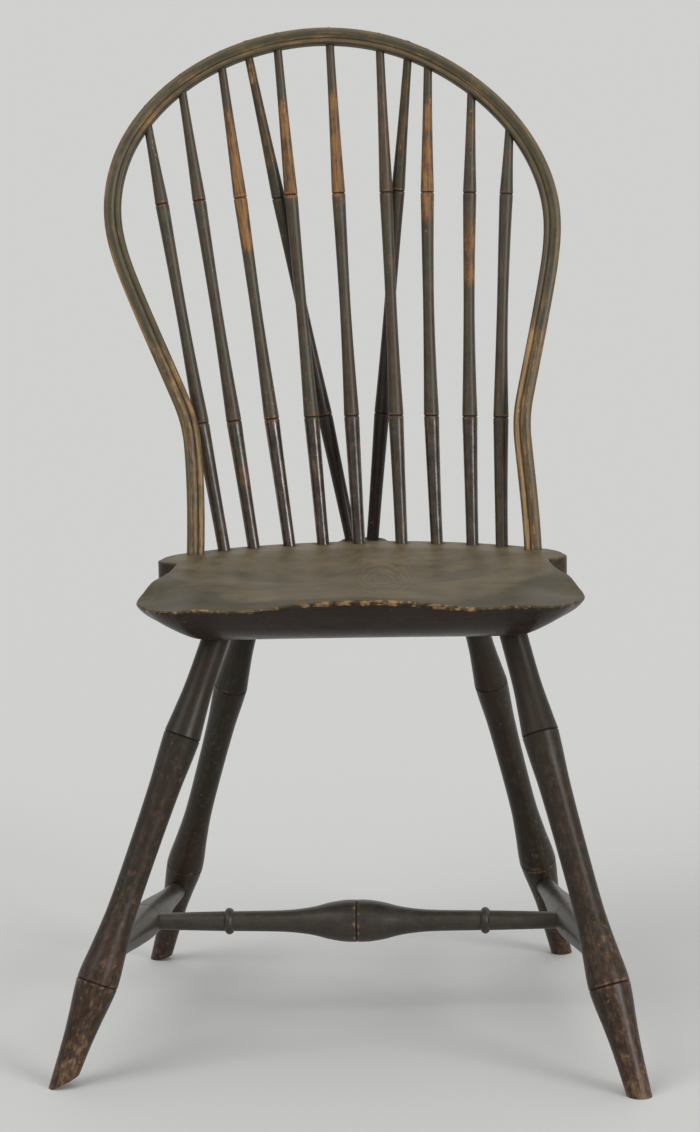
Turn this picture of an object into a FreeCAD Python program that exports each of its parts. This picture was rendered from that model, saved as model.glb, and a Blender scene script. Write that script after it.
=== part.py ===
"""Braced bow-back Windsor side chair, built from its separate wooden pieces.

Millimetres, +Z up, the sitter faces -Y, and left means the -X side.
Every piece is worked out about the middle of the seat on the floor. At the end
all of them move together, so that the origin is the bottom centre of the whole.
"""
import FreeCAD, Part
import math
import os
from FreeCAD import Placement, Rotation, Vector

# Seat plank
deck_height = 439.0
plank_thickness = 45.5
plank_tilt = 1.2
seat_half_width = 208.0
seat_front = 188.0
seat_tip_y = -104.0
notch_half_width = 181.5
notch_y = 74.0
ear_half_width = 199.0
ear_depth = 52.0
seat_back = 223.0
seat_back_radius = 253.0
bobtail_half_width = 23.0
bobtail_length = 32.0

# Carving of the seat
bevel_width = 76.0
bevel_roundness = 2.2
arris_thickness = 3.0
saddle_depth = 12.0
thigh_depth = 8.5
side_depth = 13.0
side_dish_start = 135.0
side_dish_back = -38.0
side_dish_run = 68.0
deck_band = 30.0
carve_step = 13.0
carve_margin = 26.0

# Bow, measured in its raked plane from the deck upwards
bow_rake = 15.5
bow_foot_y = 142.0
bow_foot_half_width = 168.0
bow_waist_half_width = 165.0
bow_waist_height = 112.0
bow_flare_height = 155.0
bow_flank_height = 270.0
bow_flank_half_width = 207.5
bow_flare_slope = 0.31
bow_foot_slope = -0.026
bow_loop_height = 342.0
bow_half_width = 220.8
bow_crown_rise = 185.0
crown_station_angles = (-90, -65, -35, -5, 25, 55, 90)
bow_lean = 32.0
bow_shift = 1.5
right_shoulder_sag = 5.0
bow_lean_height = 440.0
bow_width = 17.5
bow_depth = 16.5
bow_bead_split = -2.5
bow_groove = 2.2
bow_bead_rounding = 3.2
bow_back_rounding = 5.0
bow_tenon_diameter = 12.5
bow_wedge_thickness = 2.4
bow_wedge_length = 20.0

# Spindles and braces
socket_arc_radius = 272.0
socket_arc_y = -65.0
socket_angles = (-30.8, -23.9, -15.9, -8.6, -0.9, 8.2, 15.9, 23.9, 30.8)
head_angles = (-55.7, -41.8, -28.9, -13.0, 0.9, 14.3, 28.3, 42.8, 58.4)
spindle_bends = (0.0, 0.0, 0.0, 0.0, 0.0, 0.0, 4.0, 3.0, 4.0)
spindle_ring_low = 129.0
spindle_ring_high = 355.0
spindle_foot_diameter = 12.6
spindle_low_ring_diameter = 15.6
spindle_mid_diameter = 11.4
spindle_high_ring_diameter = 13.8
spindle_head_diameter = 8.6
spindle_socket_depth = 26.0
spindle_wedge_thickness = 1.2
spindle_wedge_length = 9.0
brace_feet_x = (-12.8, 9.2)
brace_y = 239.0
brace_head_angles = (-21.2, 22.4)
score_width = 1.8
score_depth = 0.9

# Legs: where each one stands on the floor and enters the seat
leg_sockets = {"front_left": (-134.5, -104.0), "front_right": (141.0, -104.0),
               "rear_left": (-109.5, 63.0), "rear_right": (105.5, 63.0)}
leg_feet = {"front_left": (-281.0, -203.0), "front_right": (247.0, -250.0),
            "rear_left": (-218.5, 237.0), "rear_right": (199.5, 241.0)}
rear_leg_share = 0.95
leg_top_radius = 13.0
leg_inset = 5.0
leg_high_ring = 97.0
leg_high_ring_radius = 17.4
leg_mid_radius = 14.0
leg_low_ring = 337.0
leg_low_ring_radius = 19.6
leg_foot_radius = 10.8
leg_tenon_length = 30.0
leg_tenon_radius = 10.5
worn_sole_angles = {"front_left": 24.0, "rear_left": 14.0}
worn_sole_land = 3.0

# Stretchers
front_joint_share = 0.715
rear_joint_share = 0.79
stretcher_tenon = 12.0
side_end_radius = 9.0
side_middle_radius = 17.0
cross_end_radius = 8.0
cross_shaft_radius = 9.8
cross_bulb_radius = 20.8
cross_bulb_half_length = 70.0
cross_bead_offset = 124.5
cross_bead_radius = 13.2
cross_bead_half_length = 4.5

# A length that reaches past any piece, for cutting tools
reach = 400.0

UP = Vector(0, 0, 1)


def smooth_step(value):
    """Rise from 0 to 1 with level ends as value goes from 0 to 1."""
    t = min(1.0, max(0.0, value))
    return t * t * (3.0 - 2.0 * t)


def unit(vector):
    """The same direction with a length of 1."""
    return vector * (1.0 / vector.Length)


def largest_solid(shape):
    """The solid with the most volume in a shape."""
    return max(shape.Solids, key=lambda solid: solid.Volume)


def placed_along(start, direction):
    """Placement that carries local +Z to a direction from a start point."""
    return Placement(start, Rotation(UP, direction))


def line(a, b):
    """Straight edge between two points."""
    return Part.LineSegment(a, b).toShape()


def arc(a, through, b):
    """Round edge from a to b through a third point."""
    return Part.Arc(a, through, b).toShape()


# Turned work

def turned(start, direction, runs):
    """Solid of revolution about the line from start.

    Each run is a smooth outline given as (distance, radius) points. Runs that
    leave a gap between them are joined by a scored ring, the others by a corner.
    """
    edges = []
    corner = Vector(0, 0, runs[0][0][0])
    for index, run in enumerate(runs):
        points = [Vector(radius, 0, distance) for distance, radius in run]
        if (points[0] - corner).Length > 1e-6:
            edges.append(line(corner, points[0]))
        corner = points[-1]
        if len(points) == 2:
            edges.append(line(points[0], points[1]))
        else:
            curve = Part.BSplineCurve()
            curve.interpolate(points)
            edges.append(curve.toShape())
        if index + 1 < len(runs) and runs[index + 1][0][0] > run[-1][0]:
            ring_at = (run[-1][0] + runs[index + 1][0][0]) / 2
            bottom = Vector(run[-1][1] - score_depth, 0, ring_at)
            edges.append(line(corner, bottom))
            corner = bottom
    tip = Vector(0, 0, corner.z)
    edges.append(line(corner, tip))
    edges.append(line(tip, Vector(0, 0, runs[0][0][0])))
    solid = Part.Face(Part.Wire(edges)).revolve(Vector(0, 0, 0), UP, 360)
    solid.Placement = placed_along(start, direction)
    return solid


def scored(ring_at, radius, before, after):
    """Two runs that meet in a scored ring at a distance, each with its other points."""
    half = score_width / 2
    return [before + [(ring_at - half, radius)], [(ring_at + half, radius)] + after]


# Seat

def seat_outline():
    """Edges of the plan of the seat: front, right side, back, left side."""
    w = seat_half_width
    back_y = seat_back - seat_back_radius

    def back_edge(x):
        return back_y + math.sqrt(seat_back_radius ** 2 - x ** 2)

    ear_back_x = ear_half_width - 15.0
    ear_front = notch_y + 6.0
    right = [
        ("arc", (w - 25, -seat_front + 12), (w - 12, -seat_front + 48)),
        ("arc", (w, seat_tip_y), (w - 4, seat_tip_y + 30)),
        ("arc", ((w + notch_half_width) / 2 - 6, (seat_tip_y + 30 + notch_y) / 2),
         (notch_half_width, notch_y)),
        ("line", None, (ear_half_width - 7, ear_front)),
        ("arc", (ear_half_width, ear_front + 8), (ear_half_width - 0.5, ear_front + ear_depth / 2)),
        ("arc", (ear_half_width - 4, ear_front + ear_depth * 0.85),
         (ear_back_x, back_edge(ear_back_x))),
        ("arc", (ear_back_x / 2, back_edge(ear_back_x / 2)),
         (bobtail_half_width + 3, back_edge(bobtail_half_width + 3))),
        ("line", None, (bobtail_half_width, seat_back + 7)),
        ("line", None, (bobtail_half_width - 1, seat_back + bobtail_length - 16)),
    ]
    start = (w - 48, -seat_front)
    edges = {"front": [line(Vector(-start[0], start[1], 0), Vector(start[0], start[1], 0))],
             "sides": [], "back": []}
    for side in (1, -1):
        here = Vector(side * start[0], start[1], 0)
        for index, (kind, through, end) in enumerate(right):
            there = Vector(side * end[0], end[1], 0)
            if kind == "line":
                edge = line(here, there)
            else:
                edge = arc(here, Vector(side * through[0], through[1], 0), there)
            edges["sides" if index < 3 else "back"].append(edge)
            here = there
    corner = right[-1][2]
    edges["back"].append(arc(Vector(corner[0], corner[1], 0),
                             Vector(0, seat_back + bobtail_length, 0),
                             Vector(-corner[0], corner[1], 0)))
    return edges


def seat_top(x, y):
    """Height of the carved top above the flat deck, zero or less."""
    u = abs(x)
    deck_edge = socket_arc_radius - deck_band
    inside = smooth_step((deck_edge - math.hypot(x, y - socket_arc_y)) / 40)
    saddle = saddle_depth * math.exp(-((u - 62) / 74) ** 2 - ((y - 30) / 84) ** 2)
    thigh = thigh_depth * math.exp(-((u - 112) / 54) ** 2) * smooth_step((-40 - y) / 120)
    side = side_depth * smooth_step((u - side_dish_start) / (seat_half_width - side_dish_start))
    side *= smooth_step((side_dish_back - y) / side_dish_run)
    return -inside * (saddle + thigh + side)


def carved_surface(height_at):
    """Smooth face through a grid of heights that reaches past the seat."""
    x_count = 2 * math.ceil((seat_half_width + carve_margin) / carve_step)
    x_half = x_count * carve_step / 2
    y_start = -seat_front - carve_margin
    y_end = seat_back + bobtail_length + carve_margin
    y_count = math.ceil((y_end - y_start) / carve_step)
    grid = []
    for i in range(x_count + 1):
        x = -x_half + i * carve_step
        ys = [y_start + j * carve_step for j in range(y_count + 1)]
        grid.append([Vector(x, y, height_at(x, y)) for y in ys])
    surface = Part.BSplineSurface()
    surface.interpolate(grid)
    return surface.toShape()


def seat_blank():
    """The carved seat without its sockets: a tilted plank, dished on top, bevelled below."""
    edges = seat_outline()
    plan = Part.Face(Part.Wire(Part.__sortEdges__(edges["front"] + edges["sides"] + edges["back"])))
    carved_edge = Part.Wire(Part.__sortEdges__(edges["front"] + edges["sides"]))

    def underside(x, y):
        spot = Vector(x, y, 0)
        depth_in = carved_edge.distToShape(Part.Vertex(spot))[0]
        if not plan.isInside(spot, 0.01, True):
            depth_in = -depth_in
        bevel = max(0.0, 1.0 - depth_in / bevel_width) ** bevel_roundness
        bevel *= 1.0 - smooth_step((y - notch_y + 30) / 60)
        return -plank_thickness + bevel * (plank_thickness + seat_top(x, y) - arris_thickness)

    plank = plan.extrude(Vector(0, 0, plank_thickness + 2))
    plank.translate(Vector(0, 0, -plank_thickness - 1))
    above = carved_surface(seat_top).extrude(Vector(0, 0, reach))
    below = carved_surface(underside).extrude(Vector(0, 0, -reach))
    seat = plank.cut(above).cut(below)
    seat.rotate(Vector(0, seat_back, 0), Vector(1, 0, 0), -plank_tilt)
    seat.translate(Vector(0, 0, deck_height))
    return seat


def seat_underside_height(y):
    """Height of the flat underside of the tilted plank."""
    slope = math.tan(math.radians(plank_tilt))
    return deck_height + (seat_back - y) * slope - plank_thickness / math.cos(math.radians(plank_tilt))


# Bow

def bow_axes():
    """Unit vectors of the bow's raked plane: across, up along it, and out of its front face."""
    rake = math.radians(bow_rake)
    return (Vector(1, 0, 0), Vector(0, math.sin(rake), math.cos(rake)),
            Vector(0, -math.cos(rake), math.sin(rake)))


def bow_point(x, height):
    """Point of the bow's plane, x across it and a height up it from the deck."""
    across, upward, _ = bow_axes()
    return Vector(bow_shift, bow_foot_y, deck_height) + across * x + upward * height


def lean(height):
    """How far the old bow has drifted to the left at a height."""
    return -bow_lean * smooth_step(height / bow_lean_height)


def lean_slope(height):
    """Sideways drift of the bow for each millimetre of height."""
    return lean(height + 0.5) - lean(height - 0.5)


def crown_point(angle):
    """Centre of the bow at an angle from the crest, on its half-elliptical crown."""
    turn = math.radians(angle)
    sag = right_shoulder_sag * math.sin(2 * turn) ** 2 if angle > 0 else 0.0
    height = bow_loop_height + (bow_crown_rise - sag) * math.cos(turn)
    return bow_point(lean(height) + (bow_half_width - sag) * math.sin(turn), height)


def crown_direction(angle):
    """Direction of the bow's grain at an angle from the crest."""
    return unit(crown_point(angle + 0.5) - crown_point(angle - 0.5))


def bow_stations():
    """Points and directions along the centre of the bow, from left foot to right foot."""
    across, upward, _ = bow_axes()
    legs = [(bow_foot_half_width, 0.0, bow_foot_slope),
            (bow_waist_half_width, bow_waist_height, 0.0),
            (bow_waist_half_width + (bow_flare_height - bow_waist_height) * bow_flare_slope / 2,
             bow_flare_height, bow_flare_slope),
            (bow_flank_half_width, bow_flank_height, bow_flare_slope * 0.94)]
    climbing = []
    falling = []
    for half, height, slope in legs:
        drift = lean_slope(height) if height > 0 else 0.0
        climbing.append((bow_point(lean(height) - half, height),
                         unit(across * (drift - slope) + upward)))
        falling.append((bow_point(lean(height) + half, height),
                        unit(across * (drift + slope) + upward) * -1))
    crown = [(crown_point(angle), crown_direction(angle)) for angle in crown_station_angles]
    return climbing + crown + falling[::-1]


def arc_from(start, direction, end):
    """Arc that leaves start in a direction and ends at a point."""
    chord = end - start
    along = unit(chord)
    side = direction - along * direction.dot(along)
    if side.Length < 1e-4:
        return line(start, end)
    half_turn = math.acos(max(-1.0, min(1.0, direction.dot(along)))) / 2
    middle = start + chord * 0.5 + unit(side) * (chord.Length / 2 * math.tan(half_turn))
    return arc(start, middle, end)


def two_arcs(start, start_direction, end, end_direction):
    """Pair of tangent arcs between two points with given directions."""
    span = end - start
    both = start_direction + end_direction
    apart = 2 * (1 - start_direction.dot(end_direction))
    along = span.dot(both)
    if apart < 1e-9:
        reach_out = span.dot(span) / (2 * along)
    else:
        reach_out = (math.sqrt(along ** 2 + apart * span.dot(span)) - along) / apart
    joint = (start + end + (start_direction - end_direction) * reach_out) * 0.5
    back = arc_from(end, end_direction * -1, joint)
    back.reverse()
    return [arc_from(start, start_direction, joint), back]


def bow_section(start, direction):
    """Outline of the bow across its grain: two beads in front, a rounded back."""
    _, _, front = bow_axes()
    outward = unit(front.cross(direction))
    if outward.x > 0:
        outward = outward * -1

    def at(out, forward):
        return start + outward * out + front * forward

    half = bow_width / 2
    face = bow_depth / 2
    split = bow_bead_split
    middle = (half + split) / 2
    inner_middle = (split - half) / 2
    shoulder = face - bow_bead_rounding
    back = -face + bow_back_rounding
    return Part.Wire([
        arc(at(half, shoulder), at(middle, face), at(split, face - bow_groove)),
        arc(at(split, face - bow_groove), at(inner_middle, face), at(-half, shoulder)),
        line(at(-half, shoulder), at(-half, back)),
        arc(at(-half, back), at(0, -face), at(half, back)),
        line(at(half, back), at(half, shoulder)),
    ])


def bow_foot(side):
    """Where a leg of the bow meets the deck, and its direction down into the seat."""
    start, climb = bow_stations()[0]
    end, fall = bow_stations()[-1]
    return (start, climb * -1) if side < 0 else (end, fall)


def bow_blank(seat):
    """The moulded bow, cut to the deck, with the round tenons that go through the seat."""
    stations = bow_stations()
    left, down_left = bow_foot(-1)
    right, down_right = bow_foot(1)
    sunk = bow_width / 3
    edges = [line(left + down_left * sunk, left)]
    for (p, u), (q, v) in zip(stations, stations[1:]):
        edges += two_arcs(p, u, q, v)
    edges.append(line(right, right + down_right * sunk))
    path = Part.Wire(edges)
    section = bow_section(left + down_left * sunk, down_left)
    moulding = path.makePipeShell([section], True, False)
    bow = moulding.cut(seat)
    for side in (-1, 1):
        bow = bow.fuse(bow_tenon(side))
    return bow.removeSplitter()


def bow_tenon(side):
    """Round tenon that runs through the plank, cut level with its underside."""
    foot, down = bow_foot(side)
    start = foot - down * bow_depth / 2
    tenon = Part.makeCylinder(bow_tenon_diameter / 2, plank_thickness * 2, start, down)
    return tenon.cut(below_plank())


def below_plank():
    """Tool that removes all that would stand out below the plank."""
    box = Part.makeBox(2 * reach, 2 * reach, reach)
    box.translate(Vector(-reach, seat_back - reach, -plank_thickness - reach))
    box.rotate(Vector(0, seat_back, 0), Vector(1, 0, 0), -plank_tilt)
    box.translate(Vector(0, 0, deck_height))
    return box


def wedge(tip, direction, thick_axis, thickness, width, length):
    """Thin wedge driven in at tip: full thickness there, a fine edge at its inner end."""
    thick = unit(thick_axis - direction * thick_axis.dot(direction))
    wide = unit(direction.cross(thick))
    fine = thickness * 0.2

    def corner(t, w, depth):
        return tip + thick * t + wide * w - direction * depth

    outline = [corner(-thickness / 2, -width / 2, 0), corner(thickness / 2, -width / 2, 0),
               corner(fine / 2, -width / 2, length), corner(-fine / 2, -width / 2, length)]
    edges = [line(a, b) for a, b in zip(outline, outline[1:] + outline[:1])]
    return Part.Face(Part.Wire(edges)).extrude(wide * width)


# Spindles and braces

def spindle_radii(length):
    """Stations (distance from the deck, radius) of a bamboo-turned spindle.

    It is length long from the deck to the middle of the bow, and runs on through it.
    """
    half = score_width / 2
    rings = (spindle_ring_low, spindle_ring_high)
    foot = spindle_foot_diameter / 2
    low = spindle_low_ring_diameter / 2
    middle = spindle_mid_diameter / 2
    high = spindle_high_ring_diameter / 2
    head = spindle_head_diameter / 2
    waist = (rings[0] + rings[1]) / 2
    stations = [(-spindle_socket_depth, foot), (0, foot)]
    stations += eased((0, foot), (rings[0] - half, low), 4)
    stations += [(rings[0], low - score_depth), (rings[0] + half, low)]
    stations += eased((rings[0] + half, low), (waist, middle), 4)
    stations += eased((waist, middle), (rings[1] - half, high), 4)
    stations += [(rings[1], high - score_depth), (rings[1] + half, high)]
    stations += eased((rings[1] + half, high), (length, head), 4)
    stations.append((length + bow_width * 2, head))
    return stations


def eased(start, end, count):
    """Stations that leave start and reach end with a level tangent at the thinner one."""
    stations = []
    for step in range(1, count + 1):
        share = step / count
        if start[1] > end[1]:
            swell = 1 - (1 - share) ** 1.6
        else:
            swell = share ** 1.6
        stations.append((start[0] + (end[0] - start[0]) * share,
                         start[1] + (end[1] - start[1]) * swell))
    return stations


def spindle_shaft(foot, head, bend):
    """Shaft from inside the seat to past the bow, bent sideways by bend on its way."""
    axis = head - foot
    length = axis.Length
    along = unit(axis)
    sideways = unit(Vector(-1, 0, 0) - along * Vector(-1, 0, 0).dot(along))
    circles = []
    for distance, radius in spindle_radii(length):
        share = min(1.0, max(0.0, distance / length))
        centre = foot + along * distance + sideways * (4 * bend * share * (1 - share))
        slope = 4 * bend * (1 - 2 * share) / length if 0 < share < 1 else 0.0
        ring = Part.Circle(Vector(0, 0, 0), UP, radius).toShape()
        ring.Placement = placed_along(centre, unit(along + sideways * slope))
        circles.append(Part.Wire([ring]))
    return Part.makeLoft(circles, True, True)


def spindle(foot, head, bend, bow):
    """A spindle with its tenon cut flush with the outside of the bow, and its wedge."""
    along = unit(head - foot)
    shaft = spindle_shaft(foot, head, bend)
    free = largest_solid(shaft.cut(bow))
    tenon = largest_solid(shaft.common(bow))
    proud = spindle_wedge_thickness
    outer_end = tenon_end(tenon, along) + along * proud
    grain = crown_tangent_near(head)
    key = wedge(outer_end, along, grain, spindle_wedge_thickness,
                spindle_head_diameter * 2, spindle_wedge_length + proud).common(tenon)
    return largest_solid(free.fuse(tenon.cut(key))), largest_solid(key)


def tenon_end(tenon, along):
    """Furthest point of a tenon along its own direction, on its axis."""
    centre = tenon.CenterOfMass
    far = max((v.Point - centre).dot(along) for v in tenon.Vertexes)
    return centre + along * far


def crown_tangent_near(point):
    """Direction of the bow's grain close to a point of its centre line."""
    best = min(range(-90, 91, 2), key=lambda a: (crown_point(a) - point).Length)
    return crown_direction(best)


def socket_on_deck(angle):
    """Centre of a spindle's socket, at an angle along the arc on the deck."""
    turn = math.radians(angle)
    return deck_point(socket_arc_radius * math.sin(turn),
                      socket_arc_y + socket_arc_radius * math.cos(turn))


def deck_point(x, y):
    """Point of the flat, tilted deck."""
    return Vector(x, y, deck_height + (seat_back - y) * math.tan(math.radians(plank_tilt)))


# Legs and stretchers

def leg_line(name):
    """Foot on the floor and entry into the seat of a leg."""
    x, y = leg_sockets[name]
    return Vector(leg_feet[name][0], leg_feet[name][1], 0), Vector(x, y, seat_underside_height(y))


def leg(name):
    """Bamboo-turned leg. The soles of the left legs are worn away on their inner side."""
    foot, top = leg_line(name)
    down = unit(foot - top)
    length = (foot - top).Length
    share = rear_leg_share if name.startswith("rear") else 1.0
    high = leg_high_ring
    low = leg_low_ring
    end = length / share + leg_foot_radius
    before_high = [(-leg_inset, leg_top_radius), (high * 0.5, leg_top_radius * 1.04),
                   (high * 0.8, leg_high_ring_radius * 0.9)]
    between = [(high + 20, leg_high_ring_radius * 0.95), (high + 50, leg_mid_radius * 1.06),
               ((high + low) / 2 - 10, leg_mid_radius * 0.99),
               (low - 70, leg_mid_radius * 1.01), (low - 35, leg_low_ring_radius * 0.85),
               (low - 12, leg_low_ring_radius * 0.97)]
    after_low = [(low + 14, leg_low_ring_radius * 0.94), (low + 36, leg_low_ring_radius * 0.8),
                 (low + 60, leg_foot_radius * 1.25), (end, leg_foot_radius)]
    upper, rest = scored(high, leg_high_ring_radius, before_high, between)
    middle, lower = scored(low, leg_low_ring_radius, rest, after_low)
    runs = [[(distance * share, radius * share) for distance, radius in run]
            for run in (upper, middle, lower)]
    tenon = [[(-leg_tenon_length, leg_tenon_radius * share), (0, leg_tenon_radius * share)]]
    shape = turned(top, down, runs).fuse(turned(top, down, tenon))
    if name in worn_sole_angles:
        outer_x = foot.x - leg_foot_radius * share
        worn = Part.makeBox(reach, reach, reach, Vector(0, -reach / 2, -reach))
        worn.rotate(Vector(0, 0, 0), Vector(0, -1, 0), worn_sole_angles[name])
        worn.translate(Vector(outer_x + worn_sole_land, foot.y, 0))
        shape = shape.cut(worn)
    floor = Part.makeBox(4 * reach, 4 * reach, reach, Vector(-2 * reach, -2 * reach, -reach))
    return shape.cut(floor).removeSplitter()


def on_leg(name, share):
    """Point on the axis of a leg, at a share of its length below the seat."""
    foot, top = leg_line(name)
    return top + (foot - top) * share


def side_stretcher_line(side):
    """Front and rear ends of the axis of a side stretcher."""
    return (on_leg("front_" + side, front_joint_share), on_leg("rear_" + side, rear_joint_share))


def side_stretcher(side):
    """Stretcher between a front and a rear leg, swollen to a scored ring in its middle."""
    front, rear = side_stretcher_line(side)
    axis = rear - front
    half = axis.Length / 2
    direction = unit(axis)
    taper = half - stretcher_tenon * 0.5
    swell = [(-taper, side_end_radius), (-half * 0.62, side_end_radius * 1.25),
             (-half * 0.34, side_middle_radius * 0.86), (-half * 0.12, side_middle_radius * 0.985)]
    fall = [(-distance, radius) for distance, radius in reversed(swell)]
    runs = scored(0, side_middle_radius, swell, fall)
    return turned((front + rear) * 0.5, direction, runs)


def cross_stretcher():
    """Stretcher between the side stretchers: bulb, shafts and a bead on each."""
    left = sum_of(side_stretcher_line("left")) * 0.5
    right = sum_of(side_stretcher_line("right")) * 0.5
    half = (right - left).Length / 2 - side_middle_radius + stretcher_tenon
    bulb = cross_bulb_radius
    length = cross_bulb_half_length
    shaft = cross_shaft_radius
    bead = cross_bead_offset
    bead_end = cross_bead_half_length
    outer = [(-half, cross_end_radius), (-bead - bead_end, shaft)]
    rounding = [(-bead - bead_end, shaft), (-bead - bead_end * 0.7, cross_bead_radius * 0.9),
                (-bead, cross_bead_radius), (-bead + bead_end * 0.7, cross_bead_radius * 0.9),
                (-bead + bead_end, shaft)]
    inner = [(-bead + bead_end, shaft), (-length * 1.15, shaft * 1.06), (-length * 0.88, shaft * 1.16),
             (-length * 0.6, bulb * 0.68), (-length * 0.38, bulb * 0.87),
             (-length * 0.17, bulb * 0.985)]
    left_runs = [outer, rounding, inner + [(-score_width / 2, bulb)]]
    right_runs = [[(-d, r) for d, r in reversed(run)] for run in reversed(left_runs)]
    return turned((left + right) * 0.5, unit(right - left), left_runs + right_runs)


def sum_of(points):
    """Sum of two points."""
    return points[0] + points[1]


# Assembly

def chair():
    """All pieces by name, each one cut for the pieces that enter it."""
    pieces = {}
    seat = seat_blank()
    bow = bow_blank(seat)
    whole_bow = bow.copy()
    keys = []
    places = list(zip(socket_angles, head_angles, spindle_bends))
    for number, (socket, head, bend) in enumerate(places, start=1):
        stick, key = spindle(socket_on_deck(socket), crown_point(head), bend, whole_bow)
        pieces["back_spindle_%d" % number] = stick
        keys.append(key)
    for name, foot_x, head in zip(("left", "right"), brace_feet_x, brace_head_angles):
        foot = deck_point(foot_x, brace_y)
        stick, key = spindle(foot, crown_point(head), 0.0, whole_bow)
        pieces["brace_spindle_" + name] = stick
        keys.append(key)
    for stick in list(pieces.values()) + keys:
        bow = bow.cut(stick)
    bow_keys = []
    for side in (-1, 1):
        foot, down = bow_foot(side)
        tip = foot + down * (plank_thickness + bow_wedge_length / 4)
        key = wedge(tip, down, Vector(1, 0, 0), bow_wedge_thickness,
                    bow_tenon_diameter * 2, bow_wedge_length * 1.25)
        key = key.common(bow_tenon(side))
        bow = bow.cut(key)
        bow_keys.append(key)
    for name in leg_feet:
        pieces[name.replace("_", "_leg_")] = leg(name)
    sides = {side: side_stretcher(side) for side in ("left", "right")}
    cross = cross_stretcher()
    for side, rail in sides.items():
        for end in ("front", "rear"):
            key = end + "_leg_" + side
            pieces[key] = pieces[key].cut(rail)
        pieces["side_stretcher_" + side] = rail.cut(cross)
    pieces["cross_stretcher"] = cross
    entering = [stick for name, stick in pieces.items() if "stretcher" not in name]
    for stick in entering + [bow_tenon(-1), bow_tenon(1)]:
        seat = seat.cut(stick)
    pieces["seat"] = seat
    pieces["bow"] = bow
    pieces["bow_wedges"] = Part.Compound(bow_keys)
    pieces["spindle_wedges"] = Part.Compound(keys)
    return pieces


def main():
    """Build every piece, set the origin and write one file for each piece."""
    os.makedirs("parts", exist_ok=True)
    pieces = chair()
    box = Part.Compound(list(pieces.values())).optimalBoundingBox(True, False)
    home = Vector(-(box.XMin + box.XMax) / 2, -(box.YMin + box.YMax) / 2, -box.ZMin)
    for name, shape in pieces.items():
        shape.translate(home)
        shape.exportStep("parts/%s.step" % name)
        print(name, len(shape.Solids), shape.isValid(), round(shape.Volume))


if __name__ == "__main__":
    main()
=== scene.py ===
"""Looks of an old braced bow-back Windsor chair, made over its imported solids.

Metres, +Z up, the sitter faces -Y, left means the -X side. Every piece is shaped
about the middle of the seat on the floor and then moved home, where its solid is.
"""

import logging
import math
from dataclasses import dataclass, field
from enum import Enum
from typing import Callable, Sequence, TypeVar, Union

import bmesh
import bpy
from mathutils import Matrix, Vector, kdtree, noise


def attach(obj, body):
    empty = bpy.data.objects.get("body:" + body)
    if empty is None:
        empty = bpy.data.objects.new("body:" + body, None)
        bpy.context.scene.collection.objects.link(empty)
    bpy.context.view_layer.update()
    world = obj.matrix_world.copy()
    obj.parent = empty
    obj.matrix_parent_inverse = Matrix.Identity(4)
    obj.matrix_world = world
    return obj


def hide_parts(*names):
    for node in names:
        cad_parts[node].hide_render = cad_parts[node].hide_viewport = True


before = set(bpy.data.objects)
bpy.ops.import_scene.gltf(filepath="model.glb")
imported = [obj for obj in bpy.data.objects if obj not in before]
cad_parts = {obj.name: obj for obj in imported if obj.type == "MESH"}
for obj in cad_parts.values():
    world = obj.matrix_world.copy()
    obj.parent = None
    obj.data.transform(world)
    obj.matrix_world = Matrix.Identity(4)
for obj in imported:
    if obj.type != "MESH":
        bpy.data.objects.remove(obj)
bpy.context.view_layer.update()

HOME = Vector((0.017159, -0.014696, 0.0))
UP = Vector((0.0, 0.0, 1.0))
LEFTWARDS = Vector((-1.0, 0.0, 0.0))
RIGHTWARDS = Vector((1.0, 0.0, 0.0))

SCORE_WIDTH = 0.0018
SCORE_DEPTH = 0.0009
SCORE_FLOOR = ((0.3, 0.75), (0.5, 1.0), (0.7, 0.75))
SCORE_DIRT = 0.0012
LIP_AT = 0.0019
LIP_REACH = 0.0022
LIP_SHARES = (0.34, 0.67)
CRISP_ANGLE = 0.7

Colour = tuple[float, float, float]
Pair = tuple[float, float]
Run = list[Pair]
Patch = tuple[float, float, float]
Wear = Callable[[float, float], float]
Value = Union["Signal", float]
Point = TypeVar("Point", float, Vector)
Vert = bmesh.types.BMVert
Edge = bmesh.types.BMEdge

log = logging.getLogger("chair")


def smooth_step(value: float) -> float:
    """Rise from 0 to 1 with level ends as value goes from 0 to 1."""
    t = min(1.0, max(0.0, value))
    return t * t * (3.0 - 2.0 * t)


def bump_at(value: float, middle: float, half_width: float) -> float:
    """A hill of height 1 at middle that ends half_width to each side."""
    return smooth_step(1.0 - abs(value - middle) / half_width)


def rough(point: Vector, size: float, seed: float = 0.0) -> float:
    """Smooth noise from about -1 to 1 with features of a size, the same in every run."""
    return noise.noise(point / size + Vector((seed, 2.3 * seed, -1.7 * seed)))


def blend_curve(start: Point, end: Point, leave: Point, arrive: Point, share: float) -> Point:
    """Follow the smooth curve between two places or values.

    Args:
        start: Where it starts.
        end: Where it ends.
        leave: Slope at the start, over the whole length.
        arrive: Slope at the end, over the whole length.
        share: Share of the way, from 0 to 1.

    Returns:
        The place or value there.
    """
    squared, cubed = share ** 2, share ** 3
    return (start * (2 * cubed - 3 * squared + 1) + leave * (cubed - 2 * squared + share)
            + end * (3 * squared - 2 * cubed) + arrive * (cubed - squared))


def rounded(inset: float, radius: float) -> float:
    """How far a rounded edge falls away at an inset from its rim."""
    return radius - math.sqrt(radius ** 2 - max(0.0, radius - inset) ** 2)


class Side(Enum):
    """The sides of the chair, named as in its nodes."""

    LEFT = "left"
    RIGHT = "right"


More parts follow.
